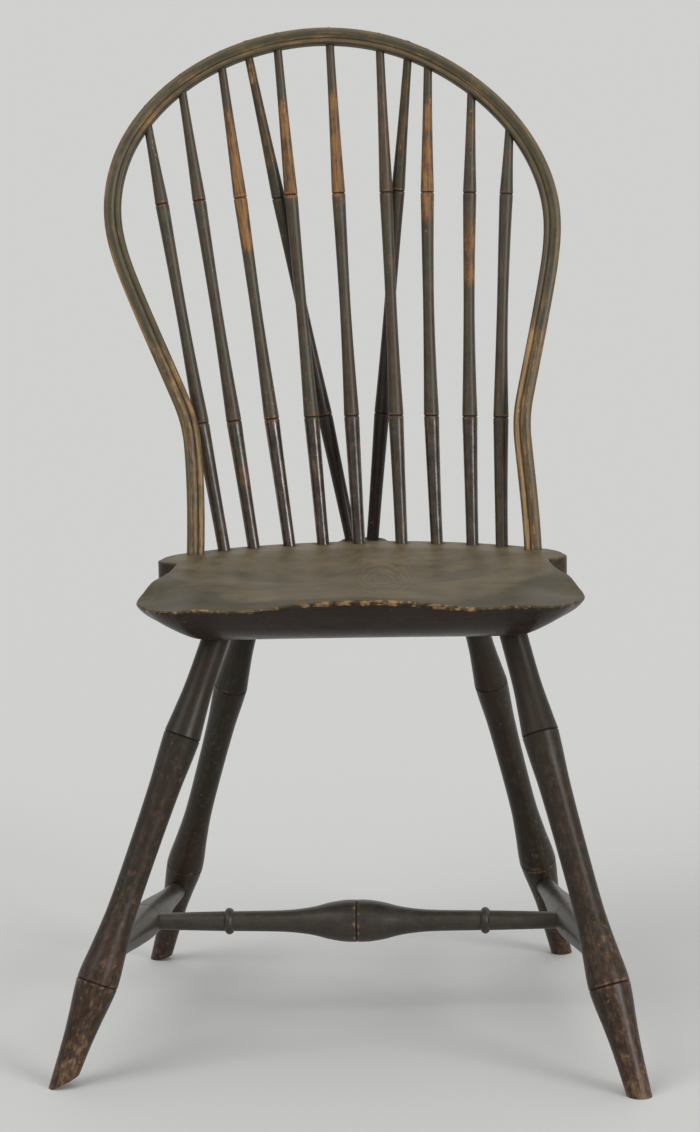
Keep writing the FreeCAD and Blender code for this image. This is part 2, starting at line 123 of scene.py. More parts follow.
class Signal:
    """A shader socket that takes part in Python expressions."""

    def __init__(self, graph: "Graph", socket: bpy.types.NodeSocket) -> None:
        """Wrap a socket.

        Args:
            graph: The graph that the socket belongs to.
            socket: The output socket.
        """
        self.graph = graph
        self.socket = socket

    def _math(self, operation: str, first: Value, second: Value) -> "Signal":
        """Result of one Math node."""
        return self.graph.node("ShaderNodeMath", {"operation": operation}, {0: first, 1: second})

    def __add__(self, other: Value) -> "Signal":
        """Sum of two values."""
        return self._math("ADD", self, other)

    def __radd__(self, other: Value) -> "Signal":
        """Sum of two values."""
        return self._math("ADD", other, self)

    def __sub__(self, other: Value) -> "Signal":
        """This value less another."""
        return self._math("SUBTRACT", self, other)

    def __rsub__(self, other: Value) -> "Signal":
        """Another value less this one."""
        return self._math("SUBTRACT", other, self)

    def __mul__(self, other: Value) -> "Signal":
        """Product of two values."""
        return self._math("MULTIPLY", self, other)

    def __rmul__(self, other: Value) -> "Signal":
        """Product of two values."""
        return self._math("MULTIPLY", other, self)

    def at_most(self, other: Value) -> "Signal":
        """The smaller of two values."""
        return self._math("MINIMUM", self, other)

    def at_least(self, other: Value) -> "Signal":
        """The larger of two values."""
        return self._math("MAXIMUM", self, other)

    def between(self, low: float, high: float) -> "Signal":
        """Smooth rise from 0 at low to 1 at high."""
        return self.graph.node("ShaderNodeMapRange", {"interpolation_type": "SMOOTHSTEP"},
                               {"Value": self, "From Min": low, "From Max": high})


class Graph:
    """The nodes of one material or of the world."""

    def __init__(self, owner: Union[bpy.types.Material, bpy.types.World]) -> None:
        """Start with no nodes.

        Args:
            owner: What the nodes belong to.
        """
        owner.use_nodes = True
        self.owner = owner
        self.tree = owner.node_tree
        self.tree.nodes.clear()

    def add(self, kind: str, settings: dict[str, object],
            inputs: dict[Union[int, str], object]) -> bpy.types.Node:
        """Add a node; every node of the file is made here.

        Args:
            kind: The node's type.
            settings: Properties of the node, set before its sockets.
            inputs: Values or signals for its sockets.

        Returns:
            The new node.
        """
        made = self.tree.nodes.new(kind)
        for key, value in settings.items():
            setattr(made, key, value)
        for key, value in inputs.items():
            self.feed(made.inputs[key], value)
        return made

    def node(self, kind: str, settings: dict[str, object],
             inputs: dict[Union[int, str], object], output: Union[int, str] = 0) -> Signal:
        """Add a node and take one of its outputs.

        Args:
            kind: The node's type.
            settings: Properties of the node, set before its sockets.
            inputs: Values or signals for its sockets.
            output: The output to take.

        Returns:
            The output as a signal.
        """
        return Signal(self, self.add(kind, settings, inputs).outputs[output])

    def feed(self, socket: bpy.types.NodeSocket, value: object) -> None:
        """Fill an input socket.

        Args:
            socket: The input socket.
            value: A signal to link to it, or its own value; a colour may come without alpha.
        """
        if isinstance(value, Signal):
            self.tree.links.new(value.socket, socket)
        elif isinstance(value, tuple) and len(value) == 3 and len(socket.default_value) == 4:
            socket.default_value = (*value, 1.0)
        else:
            socket.default_value = value

    def attribute(self, name: str, output: str = "Fac") -> Signal:
        """Read an attribute that a piece carries."""
        return self.node("ShaderNodeAttribute", {"attribute_name": name}, {}, output)

    def stretched(self, vector: Signal, scale: Colour) -> Signal:
        """Scale a vector."""
        return self.node("ShaderNodeMapping", {}, {"Vector": vector, "Scale": scale})

    def noise(self, vector: Signal, scale: float, detail: float, roughness: float,
              distortion: float = 0.0) -> Signal:
        """Cloudy noise from 0 to 1.

        Args:
            vector: Where the noise is read.
            scale: How fine it is.
            detail: Number of finer layers.
            roughness: Strength of those layers.
            distortion: How far it is warped.

        Returns:
            The noise.
        """
        return self.node("ShaderNodeTexNoise", {}, {
            "Vector": vector, "Scale": scale, "Detail": detail, "Roughness": roughness,
            "Distortion": distortion})

    def mix(self, factor: Value, low: object, high: object, blend: str = "MIX") -> Signal:
        """Mix two colours by a factor."""
        return self.node("ShaderNodeMix", {"data_type": "RGBA", "blend_type": blend},
                         {0: factor, 6: low, 7: high}, 2)

    def bump(self, height: Signal, strength: float, distance: float) -> Signal:
        """Normal of a surface with a relief."""
        return self.node("ShaderNodeBump", {}, {
            "Height": height, "Strength": strength, "Distance": distance}, "Normal")

    def finish(self, sockets: dict[str, object]) -> bpy.types.Material:
        """End a material in a Principled shader.

        Args:
            sockets: Values or signals for the shader's sockets, by name.

        Returns:
            The material.
        """
        shader = self.node("ShaderNodeBsdfPrincipled", {}, sockets)
        self.add("ShaderNodeOutputMaterial", {}, {"Surface": shader})
        return self.owner


@dataclass(frozen=True)
class Marks:
    """What one paint's colour, gloss and relief share: its noises and the piece's attributes.

    Attributes:
        streak: Long fine noise along the grain.
        rub: Short noise along the grain.
        cloud: Wide soft noise.
        mottle: Small even noise.
        speck: Fine noise for knocks.
        wear: How far the paint is rubbed.
        dirt: How dark it is made: grime in scores and joints, and painted shade on the bow.
        tone: Choice between the two paints.
        polish: How far it is polished.
    """

    streak: Signal
    rub: Signal
    cloud: Signal
    mottle: Signal
    speck: Signal
    wear: Signal
    dirt: Signal
    tone: Signal
    polish: Signal


def shaded(colour: Colour, share: float) -> Colour:
    """A colour times a number."""
    return tuple(channel * share for channel in colour)


@dataclass(frozen=True)
class WornPaint:
    """Old dark paint over a red ground on wood, rubbed through where the wear is high.

    The piece carries the attributes fibre, a position with Z along the grain, wear, dirt
    (grime, with painted shade on the bow) and polish from 0 to 1, and tone, which picks
    between the two paints.

    Attributes:
        name: The material's name.
        paint: The paint where the tone is 0.
        second_paint: The paint where the tone is 1.
        deep_paint: The paint where it is polished.
        ground: The red ground under the paint.
        wood: The wood at its lightest.
        gloss: Roughness of the paint.
        specular: Specular level.
        ground_share: How far the ground shows before the wood does.
        speck: How many small knocks there are.
        grain_across: Scale of the noise across the grain.
        rub_across: Scale of the rubbing across the grain.
        stretch: Scale of the rubbing along the grain, as a share of that across it.
        grain_wear: How much the wear follows the grain.
        blotches: How blotched the two paints lie.
        relief: Strength of the bumps.
        shine: How much smoother the polished paint is.
        coat: Clear coat where it is polished.
        figure: Strength of the wood's figure.
        figure_at: Middle of the figure, in the figure's own space.
    """

    name: str
    paint: Colour
    second_paint: Colour
    deep_paint: Colour
    ground: Colour
    wood: Colour
    gloss: float = 0.42
    specular: float = 0.30
    ground_share: float = 0.25
    speck: float = 0.5
    grain_across: float = 620.0
    rub_across: float = 240.0
    stretch: float = 0.22
    grain_wear: float = 0.5
    blotches: float = 1.0
    relief: float = 0.35
    shine: float = 0.20
    coat: float = 0.0
    figure: float = 0.0
    figure_at: Colour = (0.0, 0.0, 0.0)

    def marks(self, g: Graph, fibre: Signal) -> Marks:
        """Draw the noises and read the attributes.

        Args:
            g: The material's nodes.
            fibre: Position with Z along the grain.

        Returns:
            What colour, gloss and relief share.
        """
        along = g.stretched(fibre, (1.0, 1.0, 0.035))
        short = g.stretched(fibre, (1.0, 1.0, self.stretch))
        knocked = g.stretched(fibre, (1.0, 1.0, 0.55))
        return Marks(
            streak=g.noise(along, self.grain_across, 3.0, 0.6),
            rub=g.noise(short, self.rub_across, 4.0, 0.62),
            cloud=g.noise(fibre, 16.0, 3.0, 0.55, 0.4),
            mottle=g.noise(fibre, 85.0, 4.0, 0.62),
            speck=g.noise(knocked, 330.0, 2.0, 0.6),
            wear=g.attribute("wear"), dirt=g.attribute("dirt"), tone=g.attribute("tone"),
            polish=g.attribute("polish"))

    def growth_rings(self, g: Graph, fibre: Signal, m: Marks) -> Signal:
        """Waves of the wood's growth rings, which fade away from the middle of the figure.

        Args:
            g: The material's nodes.
            fibre: Position with Z along the grain.
            m: The paint's marks.

        Returns:
            A number about 0.
        """
        apart = g.node("ShaderNodeVectorMath", {"operation": "DISTANCE"},
                       {0: g.stretched(fibre, (0.22, 0.0, 1.0)), 1: self.figure_at}, "Value")
        phase = apart * 1150.0 + (m.mottle - 0.5) * 9.0 + (m.cloud - 0.5) * 5.0
        waves = g.node("ShaderNodeMath", {"operation": "SINE"}, {0: phase})
        return waves * (1.0 - apart.between(0.012, 0.046)) * self.figure

    def sound_paint(self, g: Graph, fibre: Signal, m: Marks) -> Signal:
        """Colour of the paint where it is whole.

        Args:
            g: The material's nodes.
            fibre: Position with Z along the grain.
            m: The paint's marks.

        Returns:
            The colour.
        """
        pick = (m.tone + ((m.cloud - 0.5) * 1.3 + (m.mottle - 0.5) * 0.9) * self.blotches
                + (m.streak - 0.5) * 0.4).between(0.05, 0.95)
        deep = m.polish * (0.70 + (m.rub - 0.5) * 1.2).at_most(1.0).at_least(0.0)
        painted = g.mix(deep, g.mix(pick, self.paint, self.second_paint), self.deep_paint)
        shade = 0.12 + m.streak * 0.66 + m.mottle * 0.76 + m.rub * 0.34
        if self.figure:
            shade = shade + self.growth_rings(g, fibre, m)
        grey = g.node("ShaderNodeCombineXYZ", {}, {0: shade, 1: shade, 2: shade})
        return g.mix(1.0, painted, grey, "MULTIPLY")

    def material(self) -> bpy.types.Material:
        """Build the material.

        Returns:
            The material.
        """
        g = Graph(bpy.data.materials.new(self.name))
        fibre = g.attribute("fibre", "Vector")
        m = self.marks(g, fibre)
        rubbing = m.wear + ((m.rub - 0.5) * 1.2 + (m.mottle - 0.5) * 0.6 + (m.cloud - 0.5) * 0.4
                            + (m.streak - 0.5) * self.grain_wear)
        bare = rubbing.between(0.46, 0.76)
        thin = (rubbing + self.ground_share).between(0.38, 0.78)
        chip_at = 0.26 - 0.08 * self.speck
        chips = ((m.speck - 0.5) + (m.wear - 0.5) * 0.12 + (m.cloud - 0.5) * 0.35).between(
            chip_at, chip_at + 0.04) * (1.0 - m.dirt)

        ground = g.mix(thin * 0.75, self.sound_paint(g, fibre, m), self.ground)
        grain = (m.streak * 0.75 + m.rub * 0.25).between(0.32, 0.62)
        wood = g.mix(grain, shaded(self.wood, 0.5), self.wood)
        rubbed = g.mix(bare, ground, wood)
        chipped = g.mix(chips * 0.65, rubbed, shaded(self.wood, 1.15))
        # Darkened where the dirt attribute is high: grime in scores and joints, and painted shade
        # on the bow.
        colour = g.mix(m.dirt * 0.85, chipped, shaded(self.paint, 0.3))

        roughness = (self.gloss + (m.mottle - 0.5) * 0.25 + bare * 0.12 + m.dirt * 0.25
                     + (m.streak - 0.5) * 0.12 - m.polish * self.shine)
        coat = m.polish * (m.rub * 0.6 + m.mottle * 0.4).between(0.36, 0.62) * self.coat
        height = m.streak * 0.35 + m.mottle * 0.5 - bare * 0.35 - chips * 0.15
        return g.finish({"Base Color": colour, "Roughness": roughness,
                         "Specular IOR Level": self.specular, "Coat Weight": coat,
                         "Coat Roughness": 0.17, "Normal": g.bump(height, self.relief, 0.0006)})


@dataclass(frozen=True)
class EndGrain:
    """Stained wood seen across its grain, as on the ends of wedges."""

    name: str
    light: Colour
    dark: Colour

    def material(self) -> bpy.types.Material:
        """Build the material.

        Returns:
            The material.
        """
        g = Graph(bpy.data.materials.new(self.name))
        place = g.node("ShaderNodeTexCoord", {}, {}, "Object")
        lines = g.noise(g.stretched(place, (1.0, 0.15, 1.0)), 900.0, 3.0, 0.6)
        stain = g.noise(place, 120.0, 3.0, 0.6)
        colour = g.mix((lines * 0.6 + stain * 0.4).between(0.35, 0.65), self.dark, self.light)
        return g.finish({"Base Color": colour, "Roughness": 0.45 + stain * 0.3,
                         "Normal": g.bump(lines, 0.3, 0.0003)})


class Finish(Enum):
    """The finishes of the chair's woods, one for each slot of the record."""

    SEAT = "seat_wood"
    BOW = "bow_wood"
    SPINDLE = "spindle_wood"
    BRACE = "brace_wood"
    LEG = "leg_wood"
    STRETCHER = "stretcher_wood"
    WEDGE = "wedge_wood"


FINISHES: dict[Finish, Union[WornPaint, EndGrain]] = {
    Finish.SEAT: WornPaint(
        "seat_paint", paint=(0.033, 0.028, 0.0125), second_paint=(0.144, 0.109, 0.058),
        deep_paint=(0.027, 0.0175, 0.0170), ground=(0.11, 0.062, 0.036),
        wood=(0.30, 0.185, 0.085), gloss=0.50, specular=0.12, ground_share=0.05, speck=0.4,
        grain_across=300.0, rub_across=480.0, stretch=0.55, blotches=0.5, relief=0.30,
        figure=0.19, figure_at=(-0.0034, 0.0, 0.020)),
    Finish.BOW: WornPaint(
        "bow_paint", paint=(0.104, 0.080, 0.042), second_paint=(0.052, 0.048, 0.027),
        deep_paint=(0.03, 0.02, 0.015), ground=(0.17, 0.098, 0.044), wood=(0.335, 0.205, 0.088),
        gloss=0.44, specular=0.30, speck=0.9, grain_wear=1.3),
    Finish.SPINDLE: WornPaint(
        "spindle_paint", paint=(0.064, 0.041, 0.026), second_paint=(0.050, 0.055, 0.037),
        deep_paint=(0.020, 0.011, 0.011), ground=(0.13, 0.060, 0.025), wood=(0.27, 0.137, 0.048),
        gloss=0.42, specular=0.30, speck=1.2, grain_wear=0.8, shine=0.22, coat=0.9),
    Finish.BRACE: WornPaint(
        "brace_paint", paint=(0.052, 0.038, 0.024), second_paint=(0.044, 0.046, 0.029),
        deep_paint=(0.022, 0.014, 0.015), ground=(0.11, 0.055, 0.022), wood=(0.33, 0.19, 0.085),
        gloss=0.40, specular=0.22, ground_share=0.20, speck=1.1, shine=0.04),
    Finish.LEG: WornPaint(
        "leg_paint", paint=(0.031, 0.016, 0.010), second_paint=(0.015, 0.018, 0.011),
        deep_paint=(0.02, 0.012, 0.011), ground=(0.076, 0.038, 0.023), wood=(0.168, 0.105, 0.055),
        gloss=0.36, specular=0.24, ground_share=0.19, speck=0.9, stretch=0.62, grain_wear=0.25,
        relief=0.28),
    Finish.STRETCHER: WornPaint(
        "stretcher_paint", paint=(0.040, 0.027, 0.020), second_paint=(0.037, 0.037, 0.027),
        deep_paint=(0.02, 0.012, 0.011), ground=(0.088, 0.048, 0.027), wood=(0.24, 0.150, 0.075),
        gloss=0.40, specular=0.34, ground_share=0.14, speck=0.8, stretch=0.5),
    Finish.WEDGE: EndGrain("wedge_wood", light=(0.12, 0.065, 0.03), dark=(0.03, 0.018, 0.012)),
}


class Skin:
    """A mesh under work whose vertices carry what their finish reads."""

    def __init__(self) -> None:
        """Start empty."""
        self.body = bmesh.new()
        layers = self.body.verts.layers
        self.place = layers.int.new("place")
        self.fibre = layers.float_vector.new("fibre")
        self.wear = layers.float.new("wear")
        self.dirt = layers.float.new("dirt")
        self.tone = layers.float.new("tone")
        self.polish = layers.float.new("polish")

    def grow(self, edges: Sequence[Edge]) -> tuple[list[Vert], list[Edge]]:
        """Extrude a loop of edges in place.

        Args:
            edges: The loop.

        Returns:
            The new vertices, which keep their place numbers, and the new edges.
        """
        grown = bmesh.ops.extrude_edge_only(self.body, edges=edges)["geom"]
        verts = [item for item in grown if isinstance(item, Vert)]
        fresh = set(verts)
        loop = [item for item in grown if isinstance(item, Edge) and fresh.issuperset(item.verts)]
        return verts, loop

    def circle(self, count: int) -> tuple[list[Vert], list[Edge]]:
        """Start with one ring of vertices that know their place in it.

        Args:
            count: Number of vertices.

        Returns:
            The vertices and the edges of the ring.
        """
        verts = bmesh.ops.create_circle(self.body, segments=count, radius=1.0,
                                        cap_ends=False)["verts"]
        for index, vertex in enumerate(verts):
            vertex[self.place] = index
        return verts, self.body.edges[:]

    def trim(self, point: Vector, normal: Vector) -> None:
        """Cut off what lies beyond a plane and close the cut.

        Args:
            point: A point of the plane.
            normal: Direction out of what is kept.
        """
        everything = self.body.verts[:] + self.body.edges[:] + self.body.faces[:]
        cut = bmesh.ops.bisect_plane(self.body, geom=everything, plane_co=point, plane_no=normal,
                                     clear_outer=True)["geom_cut"]
        rim = [item for item in cut if isinstance(item, Edge)]
        bmesh.ops.holes_fill(self.body, edges=rim, sides=0)

    def crisp(self) -> None:
        """Shade smooth, but keep sharp corners crisp."""
        for face in self.body.faces:
            face.smooth = True
        for edge in self.body.edges:
            edge.smooth = not edge.is_manifold or edge.calc_face_angle() < CRISP_ANGLE


class Workshop:
    """Turns finished skins into dressed pieces that ride on the chair."""

    def __init__(self) -> None:
        """Make every finish once."""
        self.materials = {finish: paint.material() for finish, paint in FINISHES.items()}

    def piece(self, skin: Skin, finish: Finish, node: str) -> bpy.types.Object:
        """Make the piece that stands for a node.

        Args:
            skin: Its mesh about the middle of the seat, which is freed.
            finish: Its finish.
            node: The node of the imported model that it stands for.

        Returns:
            The new object.
        """
        body = skin.body
        bmesh.ops.recalc_face_normals(body, faces=body.faces)
        bmesh.ops.translate(body, verts=body.verts, vec=HOME)
        skin.crisp()
        body.verts.layers.int.remove(skin.place)
        mesh = bpy.data.meshes.new(node + "_look")
        body.to_mesh(mesh)
        body.free()
        made = bpy.data.objects.new(node + "_look", mesh)
        bpy.context.scene.collection.objects.link(made)
        mesh.materials.append(self.materials[finish])
        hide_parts(node)
        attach(made, "root")
        log.info("%s: %d faces", made.name, len(mesh.polygons))
        return made

    def carry_over(self, node: str, finish: Finish) -> None:
        """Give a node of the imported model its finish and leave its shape.

        Args:
            node: The node.
            finish: Its finish.
        """
        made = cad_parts[node]
        made.data.materials.clear()
        made.data.materials.append(self.materials[finish])
        log.info("%s: carried over", node)


def curve_through(points: Run, step: float) -> Run:
    """Smooth outline through turned stations.

    Args:
        points: (distance, radius) stations, in order.
        step: Longest distance between the outline's points.

    Returns:
        The stations with points on a smooth curve between them.
    """
    slopes = []
    for index in range(len(points)):
        before = points[max(0, index - 1)]
        after = points[min(len(points) - 1, index + 1)]
        slopes.append((after[1] - before[1]) / (after[0] - before[0]))
    outline = [points[0]]
    for (x0, y0), (x1, y1), m0, m1 in zip(points, points[1:], slopes, slopes[1:]):
        span = x1 - x0
        count = max(1, math.ceil(span / step))
        for share in (number / count for number in range(1, count + 1)):
            radius = blend_curve(y0, y1, m0 * span, m1 * span, share)
            outline.append((x0 + span * share, radius))
    return outline


def between(a: Pair, b: Pair, share: float) -> Pair:
    """Point at a share of the way from a to b."""
    return a[0] + (b[0] - a[0]) * share, a[1] + (b[1] - a[1]) * share


def with_lips(curve: Run) -> Run:
    """Add two stations just inside each end of an outline, where a ring's edge wears.

    Args:
        curve: The outline.

    Returns:
        The outline with the four stations.
    """
    first = [between(curve[0], curve[1], share) for share in LIP_SHARES]
    last = [between(curve[-1], curve[-2], share) for share in reversed(LIP_SHARES)]
    return curve[:1] + first + curve[1:-1] + last + curve[-1:]


def scored(ring_at: float, radius: float, before: Run, after: Run) -> list[Run]:
    """Two runs that meet in a scored ring, each with its other points."""
    half = SCORE_WIDTH / 2
    return [before + [(ring_at - half, radius)], [(ring_at + half, radius)] + after]


@dataclass
class TurnedStick:
    """A stick turned on a lathe, with scored rings, along a line that may be bent.

    Attributes:
        node: The node that it stands for.
        start: Point of its axis at distance 0.
        end: Point of its axis that gives its direction.
        runs: Smooth outlines as (distance, radius), separated by scored rings.
        finish: Its finish.
        wear: Wear at a distance along it and an angle round it, 0 in front.
        tone: Choice between the finish's two paints.
        bend: Largest sideways bow between start and end, to the left.
        polished_to: Distance up to which its paint is polished dark.
        polish_fade: Length over which the polish ends.
        gleam: How strong the polish is.
        lip_wear: How far the edges of its rings are rubbed.
        slimness: Mean share of the solid's radius.
        unevenness: How far that share varies.
        facets: Number of faces round it.
        step: Longest distance between its rings of vertices.
    """

    node: str
    start: Vector
    end: Vector
    runs: list[Run]
    finish: Finish
    wear: Wear
    tone: float = 0.5
    bend: float = 0.0
    polished_to: float = -1.0
    polish_fade: float = 0.01
    gleam: float = 1.0
    lip_wear: float = 0.26
    slimness: float = 0.989
    unevenness: float = 0.006
    facets: int = 48
    step: float = 0.004

    def outline(self) -> Run:
        """Distance and radius of the whole outline, from end to end.

        Returns:
            The outline, with the floors of its scored rings.
        """
        outline: Run = []
        for run, following in zip(self.runs, self.runs[1:] + [[]]):
            curve = with_lips(curve_through(run, self.step))
            outline += curve if not outline or curve[0][0] > outline[-1][0] else curve[1:]
            at, radius = run[-1]
            if following and following[0][0] > at:
                outline += [(at + SCORE_WIDTH * share, radius - SCORE_DEPTH * depth)
                            for share, depth in SCORE_FLOOR]
        return outline

    def rings(self) -> list[float]:
        """Distances of the scored rings."""
        pairs = zip(self.runs, self.runs[1:])
        return [(a[-1][0] + b[0][0]) / 2 for a, b in pairs if b[0][0] > a[-1][0]]

    def turn(self, skin: Skin) -> None:
        """Spin the outline about the Z axis and close both ends.

        Args:
            skin: The mesh that takes it.
        """
        body = skin.body
        outline = self.outline()
        chain = [body.verts.new((0.0, 0.0, outline[0][0]))]
        chain += [body.verts.new((radius, 0.0, distance)) for distance, radius in outline]
        chain.append(body.verts.new((0.0, 0.0, outline[-1][0])))
        edges = [body.edges.new(pair) for pair in zip(chain, chain[1:])]
        bmesh.ops.spin(body, geom=chain + edges, cent=(0, 0, 0), axis=(0, 0, 1),
                       angle=2 * math.pi, steps=self.facets, use_merge=True, use_duplicate=False)
        bmesh.ops.remove_doubles(body, verts=body.verts, dist=1e-6)

    def mark(self, skin: Skin, vertex: Vert, angle: float, apart: float, seed: float) -> None:
        """Write what the finish reads at a vertex that is still on the lathe.

        Args:
            skin: The mesh under work.
            vertex: The vertex.
            angle: Angle round the stick, 0 in front.
            apart: Distance from the nearest scored ring.
            seed: The stick's own number for its noise.
        """
        local = vertex.co.copy()
        dirt = bump_at(apart, 0.0, SCORE_DIRT)
        knocks = self.lip_wear + 0.6 * rough(local, 0.006, seed)
        lip = knocks * bump_at(apart, LIP_AT, LIP_REACH) * (1.0 - dirt)
        vertex[skin.fibre] = local + Vector((seed, seed * 0.7, 0.0))
        vertex[skin.dirt] = dirt
        vertex[skin.wear] = self.wear(local.z, angle) + lip
        short = (self.polished_to - local.z) / self.polish_fade
        vertex[skin.polish] = self.gleam * smooth_step(short)
        vertex[skin.tone] = self.tone

    def dressed(self) -> Skin:
        """Turn the stick, mark it and put it in its place, uneven as hand work is.

        Returns:
            The mesh under work.
        """
        skin = Skin()
        self.turn(skin)
        whole = self.end - self.start
        turn = UP.rotation_difference(whole)
        along = whole.normalized()
        sideways = (LEFTWARDS - along * LEFTWARDS.dot(along)).normalized()
        seed = sum(ord(letter) for letter in self.node) * 0.37
        rings = self.rings()
        for vertex in skin.body.verts:
            x, y, z = vertex.co
            around = turn @ Vector((x, y, 0.0))
            apart = min(abs(z - ring) for ring in rings)
            self.mark(skin, vertex, math.atan2(around.x, -around.y), apart, seed)
            slim = self.slimness + self.unevenness * rough(Vector((x, y, z * 0.5)), 0.03, seed)
            share = min(1.0, max(0.0, z / whole.length))
            bow = sideways * (4 * self.bend * share * (1 - share))
            vertex.co = self.start + turn @ Vector((x * slim, y * slim, z)) + bow
        return skin

    def make(self, shop: Workshop,
             cuts: Sequence[tuple[Vector, Vector]] = ()) -> bpy.types.Object:
        """Build and dress the stick.

        Args:
            shop: The workshop that dresses it.
            cuts: Planes that trim it, each a point and the direction that is cut away.

        Returns:
            The new object.
        """
        skin = self.dressed()
        for point, normal in cuts:
            skin.trim(point, normal)
        return shop.piece(skin, self.finish, self.node)


def arc_points(a: Pair, through: Pair, b: Pair, count: int = 8) -> list[Pair]:
    """Points along an arc.

    Args:
        a: Where it starts, which is left out.
        through: A point that it runs through.
        b: Where it ends.
        count: Number of points.

    Returns:
        The points.
    """
    (ax, ay), (bx, by), (cx, cy) = a, through, b
    d = 2 * (ax * (by - cy) + bx * (cy - ay) + cx * (ay - by))
    sa, sb, sc = ax * ax + ay * ay, bx * bx + by * by, cx * cx + cy * cy
    ux = (sa * (by - cy) + sb * (cy - ay) + sc * (ay - by)) / d
    uy = (sa * (cx - bx) + sb * (ax - cx) + sc * (bx - ax)) / d
    start = math.atan2(ay - uy, ax - ux)
    sweep = (math.atan2(cy - uy, cx - ux) - start + math.pi) % (2 * math.pi) - math.pi
    radius = math.hypot(ax - ux, ay - uy)
    return [(ux + radius * math.cos(start + sweep * k / count),
             uy + radius * math.sin(start + sweep * k / count)) for k in range(1, count + 1)]


@dataclass
class Seat:
    """The carved plank: dished on top, bevelled below, with ears and a bobtail.

    The sizes are those of the solids. Its top is set out from the flat deck, and the
    whole plank is then tilted about the middle of its back.
    """

    deck_height: float = 0.439
    thickness: float = 0.0455
    tilt: float = math.radians(1.2)
    half_width: float = 0.208
    front: float = 0.188
    tip_y: float = -0.104
    notch_half_width: float = 0.1815
    notch_y: float = 0.074
    ear_half_width: float = 0.199
    ear_depth: float = 0.052
    back: float = 0.223
    back_radius: float = 0.253
    bobtail_half_width: float = 0.023
    bobtail_length: float = 0.032
    bevel_width: float = 0.076
    bevel_roundness: float = 2.2
    arris: float = 0.003
    saddle: float = 0.012
    thigh: float = 0.0085
    side: float = 0.013
    side_start: float = 0.135
    side_back: float = -0.038
    side_run: float = 0.068
    socket_radius: float = 0.272
    socket_y: float = -0.065
    deck_band: float = 0.030
    top_rounding: float = 0.0016
    bottom_rounding: float = 0.0010
    wedge_gap: float = 0.0002
    broken_middle: float = 0.026
    broken_half_width: float = 0.092
    chip: float = 0.0018
    chip_reach: float = 0.012
    knock: float = 0.0003
    knock_reach: float = 0.006
    fine_from: float = -0.15
    fine_step: float = 0.0012
    coarse_step: float = 0.0035
    back_steps: int = 16
    edge_insets: tuple[float, ...] = (0.0004, 0.0009, 0.0016, 0.0026, 0.004, 0.006, 0.009, 0.013)
    side_drops: tuple[float, ...] = (0.02, 0.1, 0.9)
    ring_middle: Pair = (0.0, 0.02)
    rings: int = 42

    def deck_point(self, x: float, y: float) -> Vector:
        """Point of the flat, tilted deck."""
        return Vector((x, y, self.deck_height + (self.back - y) * math.tan(self.tilt)))

    def underside_height(self, y: float) -> float:
        """Height of the flat underside."""
        return self.deck_point(0.0, y).z - self.thickness / math.cos(self.tilt)

    def tilted(self, point: Vector) -> Vector:
        """Carry a point of the level plank to its tilted place on the legs.

        Args:
            point: The point, with its height counted from the deck.

        Returns:
            The point in its place.
        """
        pivot = Vector((0.0, self.back, 0.0))
        turned = Matrix.Rotation(-self.tilt, 3, "X") @ (point - pivot) + pivot
        return turned + UP * self.deck_height

    def back_edge(self, x: float) -> float:
        """Depth of the round back edge at a distance from the middle."""
        return self.back - self.back_radius + math.sqrt(self.back_radius ** 2 - x ** 2)

    def right_half(self) -> list[Pair]:
        """The right half of the plan.

        Returns:
            Points from the middle of the front to the middle of the back.
        """
        w, front, ear = self.half_width, self.front, self.ear_half_width
        ear_front = self.notch_y + 0.006
        corner = (w - 0.048, -front)
        cheek = (w - 0.012, -front + 0.048)
        widest = (w - 0.004, self.tip_y + 0.030)
        notch = (self.notch_half_width, self.notch_y)
        side = ((w + self.notch_half_width) / 2 - 0.006, (widest[1] + self.notch_y) / 2)
        shoulder = (ear - 0.007, ear_front)
        tip = (ear - 0.0005, ear_front + self.ear_depth / 2)
        ear_back = (ear - 0.015, self.back_edge(ear - 0.015))
        neck = self.bobtail_half_width + 0.003
        tail = (self.bobtail_half_width - 0.001, self.back + self.bobtail_length - 0.016)
        points = [(0.0, -front), corner]
        points += arc_points(corner, (w - 0.025, -front + 0.012), cheek)
        points += arc_points(cheek, (w, self.tip_y), widest)
        points += arc_points(widest, side, notch)
        points.append(shoulder)
        points += arc_points(shoulder, (ear, ear_front + 0.008), tip)
        points += arc_points(tip, (ear - 0.004, ear_front + self.ear_depth * 0.85), ear_back)
        for number in range(1, self.back_steps + 1):
            x = ear_back[0] + (neck - ear_back[0]) * number / self.back_steps
            points.append((x, self.back_edge(x)))
        points += [(self.bobtail_half_width, self.back + 0.007), tail]
        middle = (0.0, self.back + self.bobtail_length)
        points += arc_points(tail, middle, (-tail[0], tail[1]))[:4]
        return points

    def outline(self) -> list[Vector]:
        """Points along the whole plan, closest on the front edge.

        Returns:
            The points, anticlockwise from the middle of the front.
        """
        right = self.right_half()
        left = [(-x, y) for x, y in reversed(right[1:-1])]
        loop = [Vector((x, y, 0.0)) for x, y in right + left]
        loop.append(loop[0])
        lengths = [0.0]
        for a, b in zip(loop, loop[1:]):
            lengths.append(lengths[-1] + (b - a).length)
        points = []
        index = 0
        wanted = 0.0
        while wanted < lengths[-1] - self.fine_step / 2:
            while lengths[index + 1] < wanted:
                index += 1
            share = (wanted - lengths[index]) / (lengths[index + 1] - lengths[index])
            points.append(loop[index].lerp(loop[index + 1], share))
            wanted += self.fine_step if points[-1].y < self.fine_from else self.coarse_step
        return points

